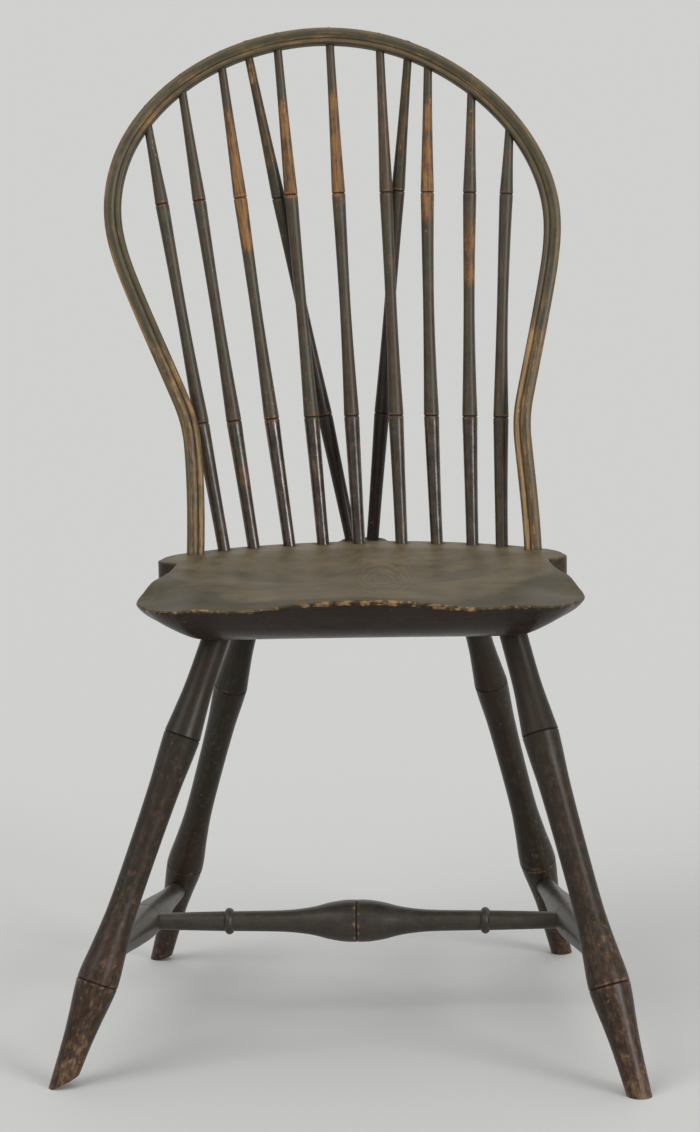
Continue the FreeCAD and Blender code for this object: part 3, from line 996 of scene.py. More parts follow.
    def top(self, x: float, y: float) -> float:
        """Height of the carved top.

        Args:
            x: Place from the middle to the right.
            y: Place from the front to the back.

        Returns:
            Height above the deck, zero or less.
        """
        u = abs(x)
        deck_edge = self.socket_radius - self.deck_band
        inside = smooth_step((deck_edge - math.hypot(x, y - self.socket_y)) / 0.040)
        saddle = self.saddle * math.exp(-((u - 0.062) / 0.074) ** 2 - ((y - 0.030) / 0.084) ** 2)
        thigh = self.thigh * math.exp(-((u - 0.112) / 0.054) ** 2)
        thigh *= smooth_step((-0.040 - y) / 0.120)
        side = self.side * smooth_step((u - self.side_start) / (self.half_width - self.side_start))
        side *= smooth_step((self.side_back - y) / self.side_run)
        return -inside * (saddle + thigh + side)

    def bottom(self, x: float, y: float, depth_in: float) -> float:
        """Height of the bevelled underside.

        Args:
            x: Place from the middle to the right.
            y: Place from the front to the back.
            depth_in: Distance from the carved edge.

        Returns:
            Height above the deck, less than zero.
        """
        bevel = max(0.0, 1.0 - depth_in / self.bevel_width) ** self.bevel_roundness
        bevel *= 1.0 - smooth_step((y - self.notch_y + 0.030) / 0.060)
        return -self.thickness + bevel * (self.thickness + self.top(x, y) - self.arris)

    def worn_arris(self, spot: Vector) -> float:
        """How badly the front edge is broken.

        Args:
            spot: Place in plan.

        Returns:
            A number from 0 to 1.
        """
        if spot.y > -0.12:
            return 0.0
        apart = abs(spot.x - self.broken_middle)
        zone = 0.26 + 0.74 * smooth_step((self.broken_half_width - apart) / 0.02)
        place = Vector((spot.x, 0.0, 0.0))
        ragged = 0.55 + 0.7 * rough(place, 0.009) + 0.25 * rough(place, 0.0035, 5.0)
        return max(0.15, min(1.0, ragged)) * zone

    def tone_with_painted_light(self, spot: Vector) -> float:
        """Tone of the top, partly painted light: lightest on the deck, then the dish, the wings
        and the bobtail.

        Args:
            spot: Place in plan.

        Returns:
            The choice between the two paints.
        """
        x, y, _ = spot
        # Painted light and shade: the dish is painted lighter than the wings and the thigh roll
        # around it.
        from_middle = (x / 0.182) ** 2 + ((y - 0.062) / 0.236) ** 2
        inside = smooth_step((1.12 - from_middle + 0.16 * rough(spot, 0.05)) / 0.18)
        # Partly painted sheen: the deck band behind the dish is painted lighter.
        deck = smooth_step((math.hypot(x, y - self.socket_y) - self.socket_radius + 0.042) / 0.018)
        deck *= smooth_step((y - 0.05) / 0.05)
        deck *= 1.0 - 0.6 * smooth_step((abs(x - 0.02) - 0.07) / 0.06)
        # Painted shade: the two hollows of the saddle are painted darker.
        hollow_shade = math.exp(-((abs(x) - 0.088) / 0.045) ** 2 - ((y - 0.035) / 0.055) ** 2)
        # The blotches are the paint's own uneven tone.
        blotch = 0.16 * rough(spot, 0.045, 3.0) + 0.12 * rough(spot, 0.020, 7.0)
        tone = 0.30 + 0.29 * inside + 0.40 * deck - 0.12 * hollow_shade + blotch * (0.4 + 0.6 * inside)
        on_bobtail = abs(x) < 0.03
        behind = smooth_step((y - self.back_edge(x) + 0.005) / 0.003) if on_bobtail else 0.0
        return tone * (1.0 - 0.9 * behind)

    def make(self, shop: Workshop, holes: Sequence[Vector]) -> bpy.types.Object:
        """Build and dress the seat.

        Args:
            shop: The workshop that dresses it.
            holes: Where sticks enter the deck, in plan, for the grime round them.

        Returns:
            The new object.
        """
        carving = Carving(self, holes)
        carving.cover_top()
        carving.cover_below()
        return shop.piece(carving.skin, Finish.SEAT, "seat")


class Carving:
    """Covers the seat with rings of its outline: the top, then its sides and underside."""

    def __init__(self, seat: Seat, holes: Sequence[Vector]) -> None:
        """Start with one ring, the rim of the top.

        Args:
            seat: The seat's sizes.
            holes: Where sticks enter the deck, in plan.
        """
        self.seat = seat
        self.holes = holes
        self.outline = seat.outline()
        self.middle = Vector((*seat.ring_middle, 0.0))
        self.skin = Skin()
        self.rim, self.rim_edges = self.skin.circle(len(self.outline))
        carved = [point for point in self.outline if point.y < seat.notch_y]
        self.carved_edge = kdtree.KDTree(len(carved))
        for index, point in enumerate(carved):
            self.carved_edge.insert(point, index)
        self.carved_edge.balance()

    def spot(self, vertex: Vert, inset: float, share: float) -> Vector:
        """Place in plan of a vertex.

        Args:
            vertex: The vertex, which knows its place in the outline.
            inset: Distance of its ring from the edge.
            share: Share of the way on to the middle.

        Returns:
            The place, moved in where the edge is chipped.
        """
        edge = self.outline[vertex[self.skin.place]]
        fade = max(0.0, 1.0 - inset / self.seat.chip_reach)
        chip = self.seat.chip * self.seat.worn_arris(edge) * fade
        inward = (self.middle - edge).normalized()
        return (edge + inward * (inset + chip)).lerp(self.middle, share)

    def height_above(self, spot: Vector, inset: float) -> float:
        """Height of the top, with its rounded and knocked edge.

        Args:
            spot: Place in plan.
            inset: Distance of the ring from the edge.

        Returns:
            Height above the deck.
        """
        fade = max(0.0, 1.0 - inset / self.seat.knock_reach)
        return (self.seat.top(spot.x, spot.y) - rounded(inset, self.seat.top_rounding)
                - self.seat.knock * self.seat.worn_arris(spot) * fade)

    def height_below(self, spot: Vector, inset: float) -> float:
        """Height of the underside, with its rounded edge.

        Args:
            spot: Place in plan.
            inset: Distance of the ring from the edge.

        Returns:
            Height above the deck.
        """
        depth_in = self.carved_edge.find(spot)[2]
        return (self.seat.bottom(spot.x, spot.y, depth_in) + self.seat.wedge_gap
                + rounded(inset, self.seat.bottom_rounding))

    def put(self, vertex: Vert, spot: Vector, height: float) -> None:
        """Put a vertex in its place, with the grain across the seat."""
        vertex[self.skin.fibre] = Vector((spot.y, height, spot.x))
        vertex.co = self.seat.tilted(Vector((spot.x, spot.y, height)))

    def lay_top(self, verts: Sequence[Vert], inset: float, share: float = 0.0) -> None:
        """Put a ring on the top and mark it.

        Args:
            verts: The ring.
            inset: Its distance from the edge.
            share: Share of the way on to the middle.
        """
        skin = self.skin
        for vertex in verts:
            spot = self.spot(vertex, inset, share)
            broken = self.seat.worn_arris(spot)
            band = 0.0009 + 0.0020 * broken
            edge = smooth_step(1.0 - (inset + share - band) / 0.0016)
            front = smooth_step((0.02 - spot.y) / 0.1)
            back = smooth_step((spot.y - 0.13) / 0.04)
            nearest = min((spot - hole).length for hole in self.holes)
            # Tone, with painted light and shade on the dish, the deck and the hollows.
            vertex[skin.tone] = self.seat.tone_with_painted_light(spot)
            vertex[skin.wear] = max(0.10 + 0.12 * bump_at(spot.y, -0.06, 0.12),
                                    edge * (0.34 + 0.10 * front + 0.06 * back + 0.20 * broken),
                                    0.34 * broken * smooth_step(1.0 - (inset + share) / 0.016))
            vertex[skin.dirt] = 0.55 * smooth_step((0.0135 - nearest) / 0.007)
            self.put(vertex, spot, self.height_above(spot, inset))

    def lay_side(self, verts: Sequence[Vert], drop: float) -> None:
        """Put a ring on the side and mark it.

        Args:
            verts: The ring.
            drop: Share of the way down from the top's rim.
        """
        skin = self.skin
        for vertex in verts:
            spot = self.spot(vertex, 0.0, 0.0)
            high = self.height_above(spot, 0.0)
            low = self.height_below(spot, 0.0)
            tall = smooth_step((high - low - 0.0038) / 0.010)
            near = max(1.0 - tall, 1.0 - smooth_step(min(drop, 1.0 - drop) / 0.06))
            vertex[skin.wear] = 0.15 + near * (0.22 + 0.34 * self.seat.worn_arris(spot))
            vertex[skin.polish] = max(tall, drop)
            self.put(vertex, spot, high + (low - high) * drop)

    def lay_below(self, verts: Sequence[Vert], inset: float, share: float = 0.0) -> None:
        """Put a ring on the bevel or the underside and mark it.

        Args:
            verts: The ring.
            inset: Its distance from the edge.
            share: Share of the way on to the middle.
        """
        skin = self.skin
        for vertex in verts:
            spot = self.spot(vertex, inset, share)
            broken = self.seat.worn_arris(spot)
            edge = smooth_step(1.0 - (inset + share - 0.0006 * broken) / 0.0012)
            vertex[skin.tone] = 0.0
            vertex[skin.wear] = 0.16 + edge * (0.22 + 0.3 * broken)
            vertex[skin.polish] = 1.0
            self.put(vertex, spot, self.height_below(spot, inset))

    def close_in(self, edges: Sequence[Edge], lay: Callable[..., None]) -> None:
        """Lay rings from the edge to the middle and close them there.

        Args:
            edges: The edges of the last ring.
            lay: What puts a ring in its place.
        """
        seat = self.seat
        for inset in seat.edge_insets:
            verts, edges = self.skin.grow(edges)
            lay(verts, inset)
        for ring in range(1, seat.rings):
            verts, edges = self.skin.grow(edges)
            lay(verts, seat.edge_insets[-1], ring / seat.rings)
        middle = sum((vertex.co for vertex in verts), Vector()) / len(verts)
        bmesh.ops.pointmerge(self.skin.body, verts=verts, merge_co=middle)

    def cover_top(self) -> None:
        """Lay the top, from its rim inwards."""
        self.lay_top(self.rim, 0.0)
        self.close_in(self.rim_edges, self.lay_top)

    def cover_below(self) -> None:
        """Lay the sides from the rim of the top down, then the underside inwards."""
        edges = self.rim_edges
        for drop in self.seat.side_drops:
            verts, edges = self.skin.grow(edges)
            self.lay_side(verts, drop)
        verts, edges = self.skin.grow(edges)
        self.lay_below(verts, 0.0)
        self.close_in(edges, self.lay_below)


@dataclass
class Bow:
    """The bent and moulded bow, drawn in its raked plane from the deck upwards."""

    seat: Seat
    rake: float = math.radians(15.5)
    foot_y: float = 0.142
    foot_half_width: float = 0.168
    waist_half_width: float = 0.165
    waist_height: float = 0.112
    flare_height: float = 0.155
    flank_height: float = 0.270
    flank_half_width: float = 0.2075
    flare_slope: float = 0.31
    foot_slope: float = -0.026
    loop_height: float = 0.342
    half_width: float = 0.2208
    crown_rise: float = 0.185
    crown_angles: tuple[float, ...] = (-90, -65, -35, -5, 25, 55, 90)
    lean: float = 0.032
    lean_height: float = 0.440
    shift: float = 0.0015
    right_sag: float = 0.005
    width: float = 0.0175
    depth: float = 0.0165
    bead_split: float = -0.0025
    groove: float = 0.0022
    bead_rounding: float = 0.0032
    back_rounding: float = 0.005
    tenon_radius: float = 0.00625
    inside: float = 0.00015
    sunk: float = 0.006
    step: float = 0.004

    def upward(self) -> Vector:
        """Direction up the plane of the bow."""
        return Vector((0.0, math.sin(self.rake), math.cos(self.rake)))

    def front(self) -> Vector:
        """Direction out of the front of that plane."""
        return Vector((0.0, -math.cos(self.rake), math.sin(self.rake)))

    def point(self, x: float, height: float) -> Vector:
        """Point of the plane."""
        start = Vector((self.shift + x, self.foot_y, self.seat.deck_height))
        return start + self.upward() * height

    def drift(self, height: float) -> float:
        """How far the old bow has moved to the left at a height, as a negative number."""
        return -self.lean * smooth_step(height / self.lean_height)

    def crown_point(self, angle: float) -> Vector:
        """Centre of the round part of the bow.

        Args:
            angle: Degrees from the crest, to the right.

        Returns:
            The point.
        """
        turn = math.radians(angle)
        sag = self.right_sag * math.sin(2 * turn) ** 2 if angle > 0 else 0.0
        height = self.loop_height + (self.crown_rise - sag) * math.cos(turn)
        return self.point(self.drift(height) + (self.half_width - sag) * math.sin(turn), height)

    def crown_direction(self, angle: float) -> Vector:
        """Direction of the grain at an angle from the crest, from left to right."""
        return (self.crown_point(angle + 0.5) - self.crown_point(angle - 0.5)).normalized()

    def outer_side(self, angle: float) -> tuple[Vector, Vector]:
        """The outer side of the bow, a little inside its solid.

        Args:
            angle: Degrees from the crest, to the right.

        Returns:
            The way from the centre to it, and the direction out of it.
        """
        outward = self.front().cross(self.crown_direction(angle)).normalized()
        return outward * (self.width / 2 - self.inside / 2), outward

    def leg_stations(self, side: Side) -> list[tuple[Vector, Vector]]:
        """Stations of one leg of the bow.

        Args:
            side: The side that it stands on.

        Returns:
            Points and upward directions of the centre line, from the foot upwards.
        """
        sign = -1.0 if side is Side.LEFT else 1.0
        flare = (self.flare_height - self.waist_height) * self.flare_slope / 2
        found = []
        for half, height, slope in (
                (self.foot_half_width, 0.0, self.foot_slope),
                (self.waist_half_width, self.waist_height, 0.0),
                (self.waist_half_width + flare, self.flare_height, self.flare_slope),
                (self.flank_half_width, self.flank_height, self.flare_slope * 0.94)):
            drifted = self.drift(height + 0.0005) - self.drift(height - 0.0005)
            tilt = drifted / 0.001 if height else 0.0
            along = RIGHTWARDS * (tilt + sign * slope) + self.upward()
            spot = self.point(self.drift(height) + sign * half, height)
            found.append((spot, along.normalized()))
        return found

    def stations(self) -> list[tuple[Vector, Vector]]:
        """Stations of the whole bow.

        Returns:
            Points and directions of the centre line, from the left foot to the right foot.
        """
        crown = [(self.crown_point(a), self.crown_direction(a)) for a in self.crown_angles]
        falling = [(spot, -along) for spot, along in reversed(self.leg_stations(Side.RIGHT))]
        return self.leg_stations(Side.LEFT) + crown + falling

    def centre_line(self) -> list[tuple[Vector, Vector]]:
        """The whole bow in short steps.

        Returns:
            Points and directions of the centre line, from below one foot to below the other.
        """
        stations = self.stations()
        (first, rising), (last, falling) = stations[0], stations[-1]
        line = [(first - rising * self.sunk, rising)]
        for (p, u), (q, v) in zip(stations, stations[1:]):
            span = (q - p).length
            count = math.ceil(span / self.step)
            for share in (number / count for number in range(count)):
                spot = blend_curve(p, q, u * span, v * span, share)
                line.append((spot, u.lerp(v, share).normalized()))
        return line + [stations[-1], (last + falling * self.sunk, falling)]

    def nearest(self, point: Vector) -> Vector:
        """Nearest point of the centre line.

        Args:
            point: The point to start from.

        Returns:
            The nearest one.
        """
        line = [spot for spot, _ in self.centre_line()]
        feet = []
        for a, b in zip(line, line[1:]):
            share = (point - a).dot(b - a) / (b - a).length_squared
            feet.append(a.lerp(b, min(1.0, max(0.0, share))))
        return min(feet, key=lambda foot: (foot - point).length)

    def section(self) -> list[Pair]:
        """Outline across the grain: two beads in front, a round back.

        Returns:
            Points as (outwards, forwards).
        """
        half = self.width / 2 - self.inside
        face = self.depth / 2 - self.inside
        split = self.bead_split
        valley = (split, face - self.groove)
        shoulder = face - self.bead_rounding
        back = -face + self.back_rounding
        outline = [(half, shoulder)]
        outline += arc_points(outline[0], ((half + split) / 2, face), valley, 10)
        outline += arc_points(valley, ((split - half) / 2, face), (-half, shoulder), 10)
        high, low = (shoulder * 2 + back) / 3, (shoulder + back * 2) / 3
        outline += [(-half, high), (-half, low), (-half, back)]
        outline += arc_points((-half, back), (0.0, -face), (half, back), 12)
        outline += [(half, low), (half, high)]
        return outline

    def wear(self, out: float, forward: float, height: float, side: float) -> float:
        """Wear of the bow.

        Args:
            out: Place across it, from -1 on its inner side to 1 on its outer side.
            forward: Place from its back to its front, -1 to 1.
            height: Height above the deck in its plane.
            side: -1 on its left leg, 1 on its right leg, 0 near its crest.

        Returns:
            Wear from 0 to 1.
        """
        front = smooth_step((forward + 0.3) / 0.6)
        low = smooth_step((0.245 - height) / 0.08)
        crest = smooth_step((height - 0.40) / 0.06)
        split = self.bead_split / self.width * 2
        outer = smooth_step((out - 0.55) / 0.3)
        lip = bump_at(out, split + 0.14, 0.17) * front
        bead = bump_at(out, split - 0.34, 0.36) * front
        flank = (1.0 - low) * (1.0 - crest)
        wear = 0.12 + 0.20 * crest * outer + 0.42 * crest * lip + 0.18 * crest * bead
        wear += flank * front * (outer * (0.46 if side < 0 else 0.20) + 0.12 * lip)
        wear += low * bead * (0.70 if side > 0 else 0.34)
        wear += low * front * (0.26 if side > 0 else 0.27) * smooth_step((0.85 - out) / 0.3)
        if side > 0:
            return wear + 0.30 * bump_at(height, 0.212, 0.03) * front
        return wear + 0.30 * bump_at(height, 0.446, 0.022) * front * smooth_step((0.5 - out) / 0.5)

    def lay(self, skin: Skin, verts: Sequence[Vert], spot: Vector, along: Vector,
            section: Sequence[Pair], travelled: float) -> None:
        """Put one ring of the moulding in its place and mark it.

        Args:
            skin: The mesh under work.
            verts: The vertices of the ring.
            spot: Centre of the ring.
            along: Direction of the grain there.
            section: The outline across the grain.
            travelled: Distance from the left foot along the grain.
        """
        outward = self.front().cross(along).normalized()
        height = (spot.z - self.seat.deck_height) / math.cos(self.rake)
        side = math.copysign(1.0, spot.x) if abs(spot.x) > 0.05 else 0.0
        rises = smooth_step((height - 0.17) / 0.05)
        flank = smooth_step((0.33 - height) / 0.06) * smooth_step((height - 0.13) / 0.03)
        # Strength of the painted shade in the groove, kept weaker on the left flank.
        groove_shade_strength = 0.85 - 0.55 * flank * (1.0 if side < 0 else 0.0)
        foot = 0.6 * smooth_step((0.004 - height) / 0.004)
        for vertex in verts:
            out, forward = section[vertex[skin.place]]
            across = out / self.width * 2
            vertex.co = spot + outward * out + self.front() * forward
            vertex[skin.fibre] = Vector((out, forward, travelled))
            vertex[skin.wear] = self.wear(across, forward / self.depth * 2, height, side)
            # Painted shade: the groove between the beads is darkened.
            valley = groove_shade_strength * bump_at(out, self.bead_split, 0.0011) if forward > 0 else 0.0
            # Painted shade: the inner side of the bow, above its legs, is darkened.
            inner = 0.45 * rises * smooth_step((-across - 0.80) / 0.15)
            # Here the dirt attribute holds painted shade in the groove and on the inner side, and
            # grime where the feet enter the seat.
            vertex[skin.dirt] = max(valley, inner, foot)
            vertex[skin.tone] = 1.0 - 0.9 * smooth_step((across - 0.40) / 0.25) if out > 0 else 0.5

    def add_tenon(self, skin: Skin, foot: Vector, down: Vector) -> None:
        """Add the round tenon that runs through the plank below a foot.

        Args:
            skin: The mesh under work.
            foot: Where the foot stands on the deck.
            down: Direction down the bow's leg.
        """
        length = self.seat.thickness * 2
        place = Matrix.Translation(foot + down * (length / 2 - self.depth / 4))
        turn = UP.rotation_difference(down).to_matrix().to_4x4()
        made = bmesh.ops.create_cone(skin.body, cap_ends=True, cap_tris=False, segments=28,
                                     radius1=self.tenon_radius, radius2=self.tenon_radius,
                                     depth=length, matrix=place @ turn)["verts"]
        for vertex in made:
            vertex[skin.fibre] = vertex.co.copy()
            vertex[skin.wear] = 0.45

    def make(self, shop: Workshop) -> bpy.types.Object:
        """Build the bow from rings of its section along its centre line.

        Args:
            shop: The workshop that dresses it.

        Returns:
            The new object.
        """
        skin = Skin()
        section = self.section()
        ring, edges = skin.circle(len(section))
        line = self.centre_line()
        travelled = 0.0
        self.lay(skin, ring, line[0][0], line[0][1], section, travelled)
        for (last, _), (spot, along) in zip(line, line[1:]):
            ring, edges = skin.grow(edges)
            travelled += (spot - last).length
            self.lay(skin, ring, spot, along, section, travelled)
        below = Vector((0.0, -math.sin(self.seat.tilt), -math.cos(self.seat.tilt)))
        skin.trim(self.seat.deck_point(0.0, 0.0) + below * self.inside, below)
        for side in Side:
            foot, rising = self.leg_stations(side)[0]
            self.add_tenon(skin, foot, -rising)
        underside = self.seat.underside_height(0.0) + self.seat.wedge_gap / 2
        skin.trim(Vector((0.0, 0.0, underside)), below)
        return shop.piece(skin, Finish.BOW, "bow")


@dataclass
class Back:
    """Nine turned spindles from the deck to the bow and two braces from the bobtail."""

    seat: Seat
    bow: Bow
    socket_angles: tuple[float, ...] = (-30.8, -23.9, -15.9, -8.6, -0.9, 8.2, 15.9, 23.9, 30.8)
    head_angles: tuple[float, ...] = (-55.7, -41.8, -28.9, -13.0, 0.9, 14.3, 28.3, 42.8, 58.4)
    bends: tuple[float, ...] = (0.0, 0.0, 0.0, 0.0, 0.0, 0.0, 0.004, 0.003, 0.004)
    ring_low: float = 0.129
    ring_high: float = 0.355
    foot_radius: float = 0.0063
    low_radius: float = 0.0078
    middle_radius: float = 0.0057
    high_radius: float = 0.0069
    head_radius: float = 0.0043
    gleams: tuple[float, ...] = (0.40, 0.55, 1.0, 0.95, 0.85, 0.50, 0.65, 0.60, 0.20)
    brace_feet_x: Pair = (-0.0128, 0.0092)
    brace_y: float = 0.239
    brace_head_angles: Pair = (-21.2, 22.4)
    patches: tuple[tuple[Patch, ...], ...] = (
        (), ((0.060, 0.082, 0.40),), ((0.300, 0.446, 0.52),), ((0.352, 0.450, 0.50),),
        ((0.356, 0.462, 0.52),), ((0.362, 0.452, 0.12),), ((0.326, 0.446, 0.50),),
        ((0.262, 0.326, 0.46), (0.40, 0.44, 0.14)), ())
    brace_patches: tuple[tuple[Patch, ...], ...] = (
        ((0.472, 0.496, 0.50), (0.385, 0.472, 0.24)), ((0.390, 0.500, 0.26),))
    patch_fade: float = 0.02
    plain_wear: float = 0.13
    foot_wear: float = 0.03
    brace_polish: float = 0.38
    facets: int = 28

    def socket(self, angle: float) -> Vector:
        """Where a spindle meets the deck.

        Args:
            angle: Degrees from the middle, round the arc of the sockets.

        Returns:
            The point.
        """
        turn = math.radians(angle)
        radius = self.seat.socket_radius
        y = self.seat.socket_y + radius * math.cos(turn)
        return self.seat.deck_point(radius * math.sin(turn), y)

    def feet(self) -> list[Vector]:
        """Where every stick of the back meets the deck."""
        braces = [self.seat.deck_point(x, self.brace_y) for x in self.brace_feet_x]
        return [self.socket(angle) for angle in self.socket_angles] + braces

    def eased(self, start: Pair, end: Pair) -> Run:
        """Stations between two others, with a level tangent at the thinner one.

        Args:
            start: The one before them.
            end: The last of them.

        Returns:
            The stations as (distance, radius).
        """
        stations = []
        for share in (0.25, 0.5, 0.75, 1.0):
            swell = 1 - (1 - share) ** 1.6 if start[1] > end[1] else share ** 1.6
            stations.append((start[0] + (end[0] - start[0]) * share,
                             start[1] + (end[1] - start[1]) * swell))
        return stations

    def runs(self, length: float) -> list[Run]:
        """Outline of a stick.

        Args:
            length: Its length from the deck to the middle of the bow.

        Returns:
            Its runs, separated by scored rings.
        """
        half = SCORE_WIDTH / 2
        low, high = self.ring_low, self.ring_high
        waist = ((low + high) / 2, self.middle_radius)
        foot = [(-0.005, self.foot_radius), (0.0, self.foot_radius)]
        foot += self.eased(foot[-1], (low - half, self.low_radius))
        middle = [(low + half, self.low_radius)]
        middle += self.eased(middle[0], waist) + self.eased(waist, (high - half, self.high_radius))
        upper = [(high + half, self.high_radius)]
        upper += self.eased(upper[0], (length, self.head_radius))
        return [foot, middle, upper + [(length + self.bow.width * 2, self.head_radius)]]

    def exit_plane(self, foot: Vector, head: Vector, angle: float) -> tuple[Vector, Vector]:
        """Plane of the bow's outer side where a stick comes out.

        Args:
            foot: Where the stick meets the deck.
            head: Where it meets the centre of the bow.
            angle: The angle of that point from the crest.

        Returns:
            A point of the plane and the direction out of the bow.
        """
        along = (head - foot).normalized()

        def miss(at: float) -> float:
            """Distance from the stick's axis to the outer side at an angle."""
            apart = self.bow.crown_point(at) + self.bow.outer_side(at)[0] - head
            return (apart - along * apart.dot(along)).length

        exit_angle = min((angle + step / 5 for step in range(-40, 41)), key=miss)
        reach, outward = self.bow.outer_side(exit_angle)
        return self.bow.nearest(self.bow.crown_point(exit_angle)) + reach, outward

    def stick(self, shop: Workshop, node: str, foot: Vector, angle: float, bend: float,
              gleam: float, finish: Finish, patches: Sequence[Patch]) -> bpy.types.Object:
        """Make one spindle or brace.

        Args:
            shop: The workshop that dresses it.
            node: The node that it stands for.
            foot: Where it meets the deck.
            angle: Where it meets the bow, as an angle from the crest.
            bend: How far it bows to the left.
            gleam: How strongly its foot is polished.
            finish: Its finish.
            patches: Rubbed lengths, each from, to and strength.

        Returns:
            The new object.
        """
        head = self.bow.crown_point(angle)

        def wear(distance: float, around: float) -> float:
            """Wear in the patches, on the front more than on the back.

            Args:
                distance: Distance from the deck.
                around: Angle round the stick, 0 in front.

            Returns:
                The wear.
            """
            facing = 0.55 + 0.45 * math.cos(around)
            rubbed = 0.0
            for start, end, strength in patches:
                inside = (end - start) / 2 - abs(distance - (start + end) / 2)
                rubbed = max(rubbed, strength * smooth_step(inside / self.patch_fade + 0.5))
            low = self.foot_wear * smooth_step((self.ring_low - distance) / 0.01)
            return self.plain_wear + low + rubbed * facing

        brace = finish is Finish.BRACE
        made = TurnedStick(node, foot, head, self.runs((head - foot).length), finish, wear,
                           bend=bend, gleam=gleam, facets=self.facets,
                           polished_to=self.brace_polish if brace else self.ring_low,
                           polish_fade=0.16 if brace else 0.006)
        return made.make(shop, [self.exit_plane(foot, head, angle)])

    def make(self, shop: Workshop) -> None:
        """Make every stick of the back.

        Args:
            shop: The workshop that dresses them.
        """
        places = zip(self.socket_angles, self.head_angles, self.bends, self.gleams, self.patches)
        for number, (socket, head, bend, gleam, patches) in enumerate(places, start=1):
            self.stick(shop, f"back_spindle_{number}", self.socket(socket), head, bend, gleam,
                       Finish.SPINDLE, patches)
        braces = zip(Side, self.brace_feet_x, self.brace_head_angles, self.brace_patches)
        for side, foot_x, head, patches in braces:
            foot = self.seat.deck_point(foot_x, self.brace_y)
            self.stick(shop, "brace_spindle_" + side.value, foot, head, 0.0, 1.0,
                       Finish.BRACE, patches)


class Corner(Enum):
    """The corners of the chair, named as their nodes are."""

    FRONT_LEFT = "front_leg_left"
    FRONT_RIGHT = "front_leg_right"
    REAR_LEFT = "rear_leg_left"
    REAR_RIGHT = "rear_leg_right"


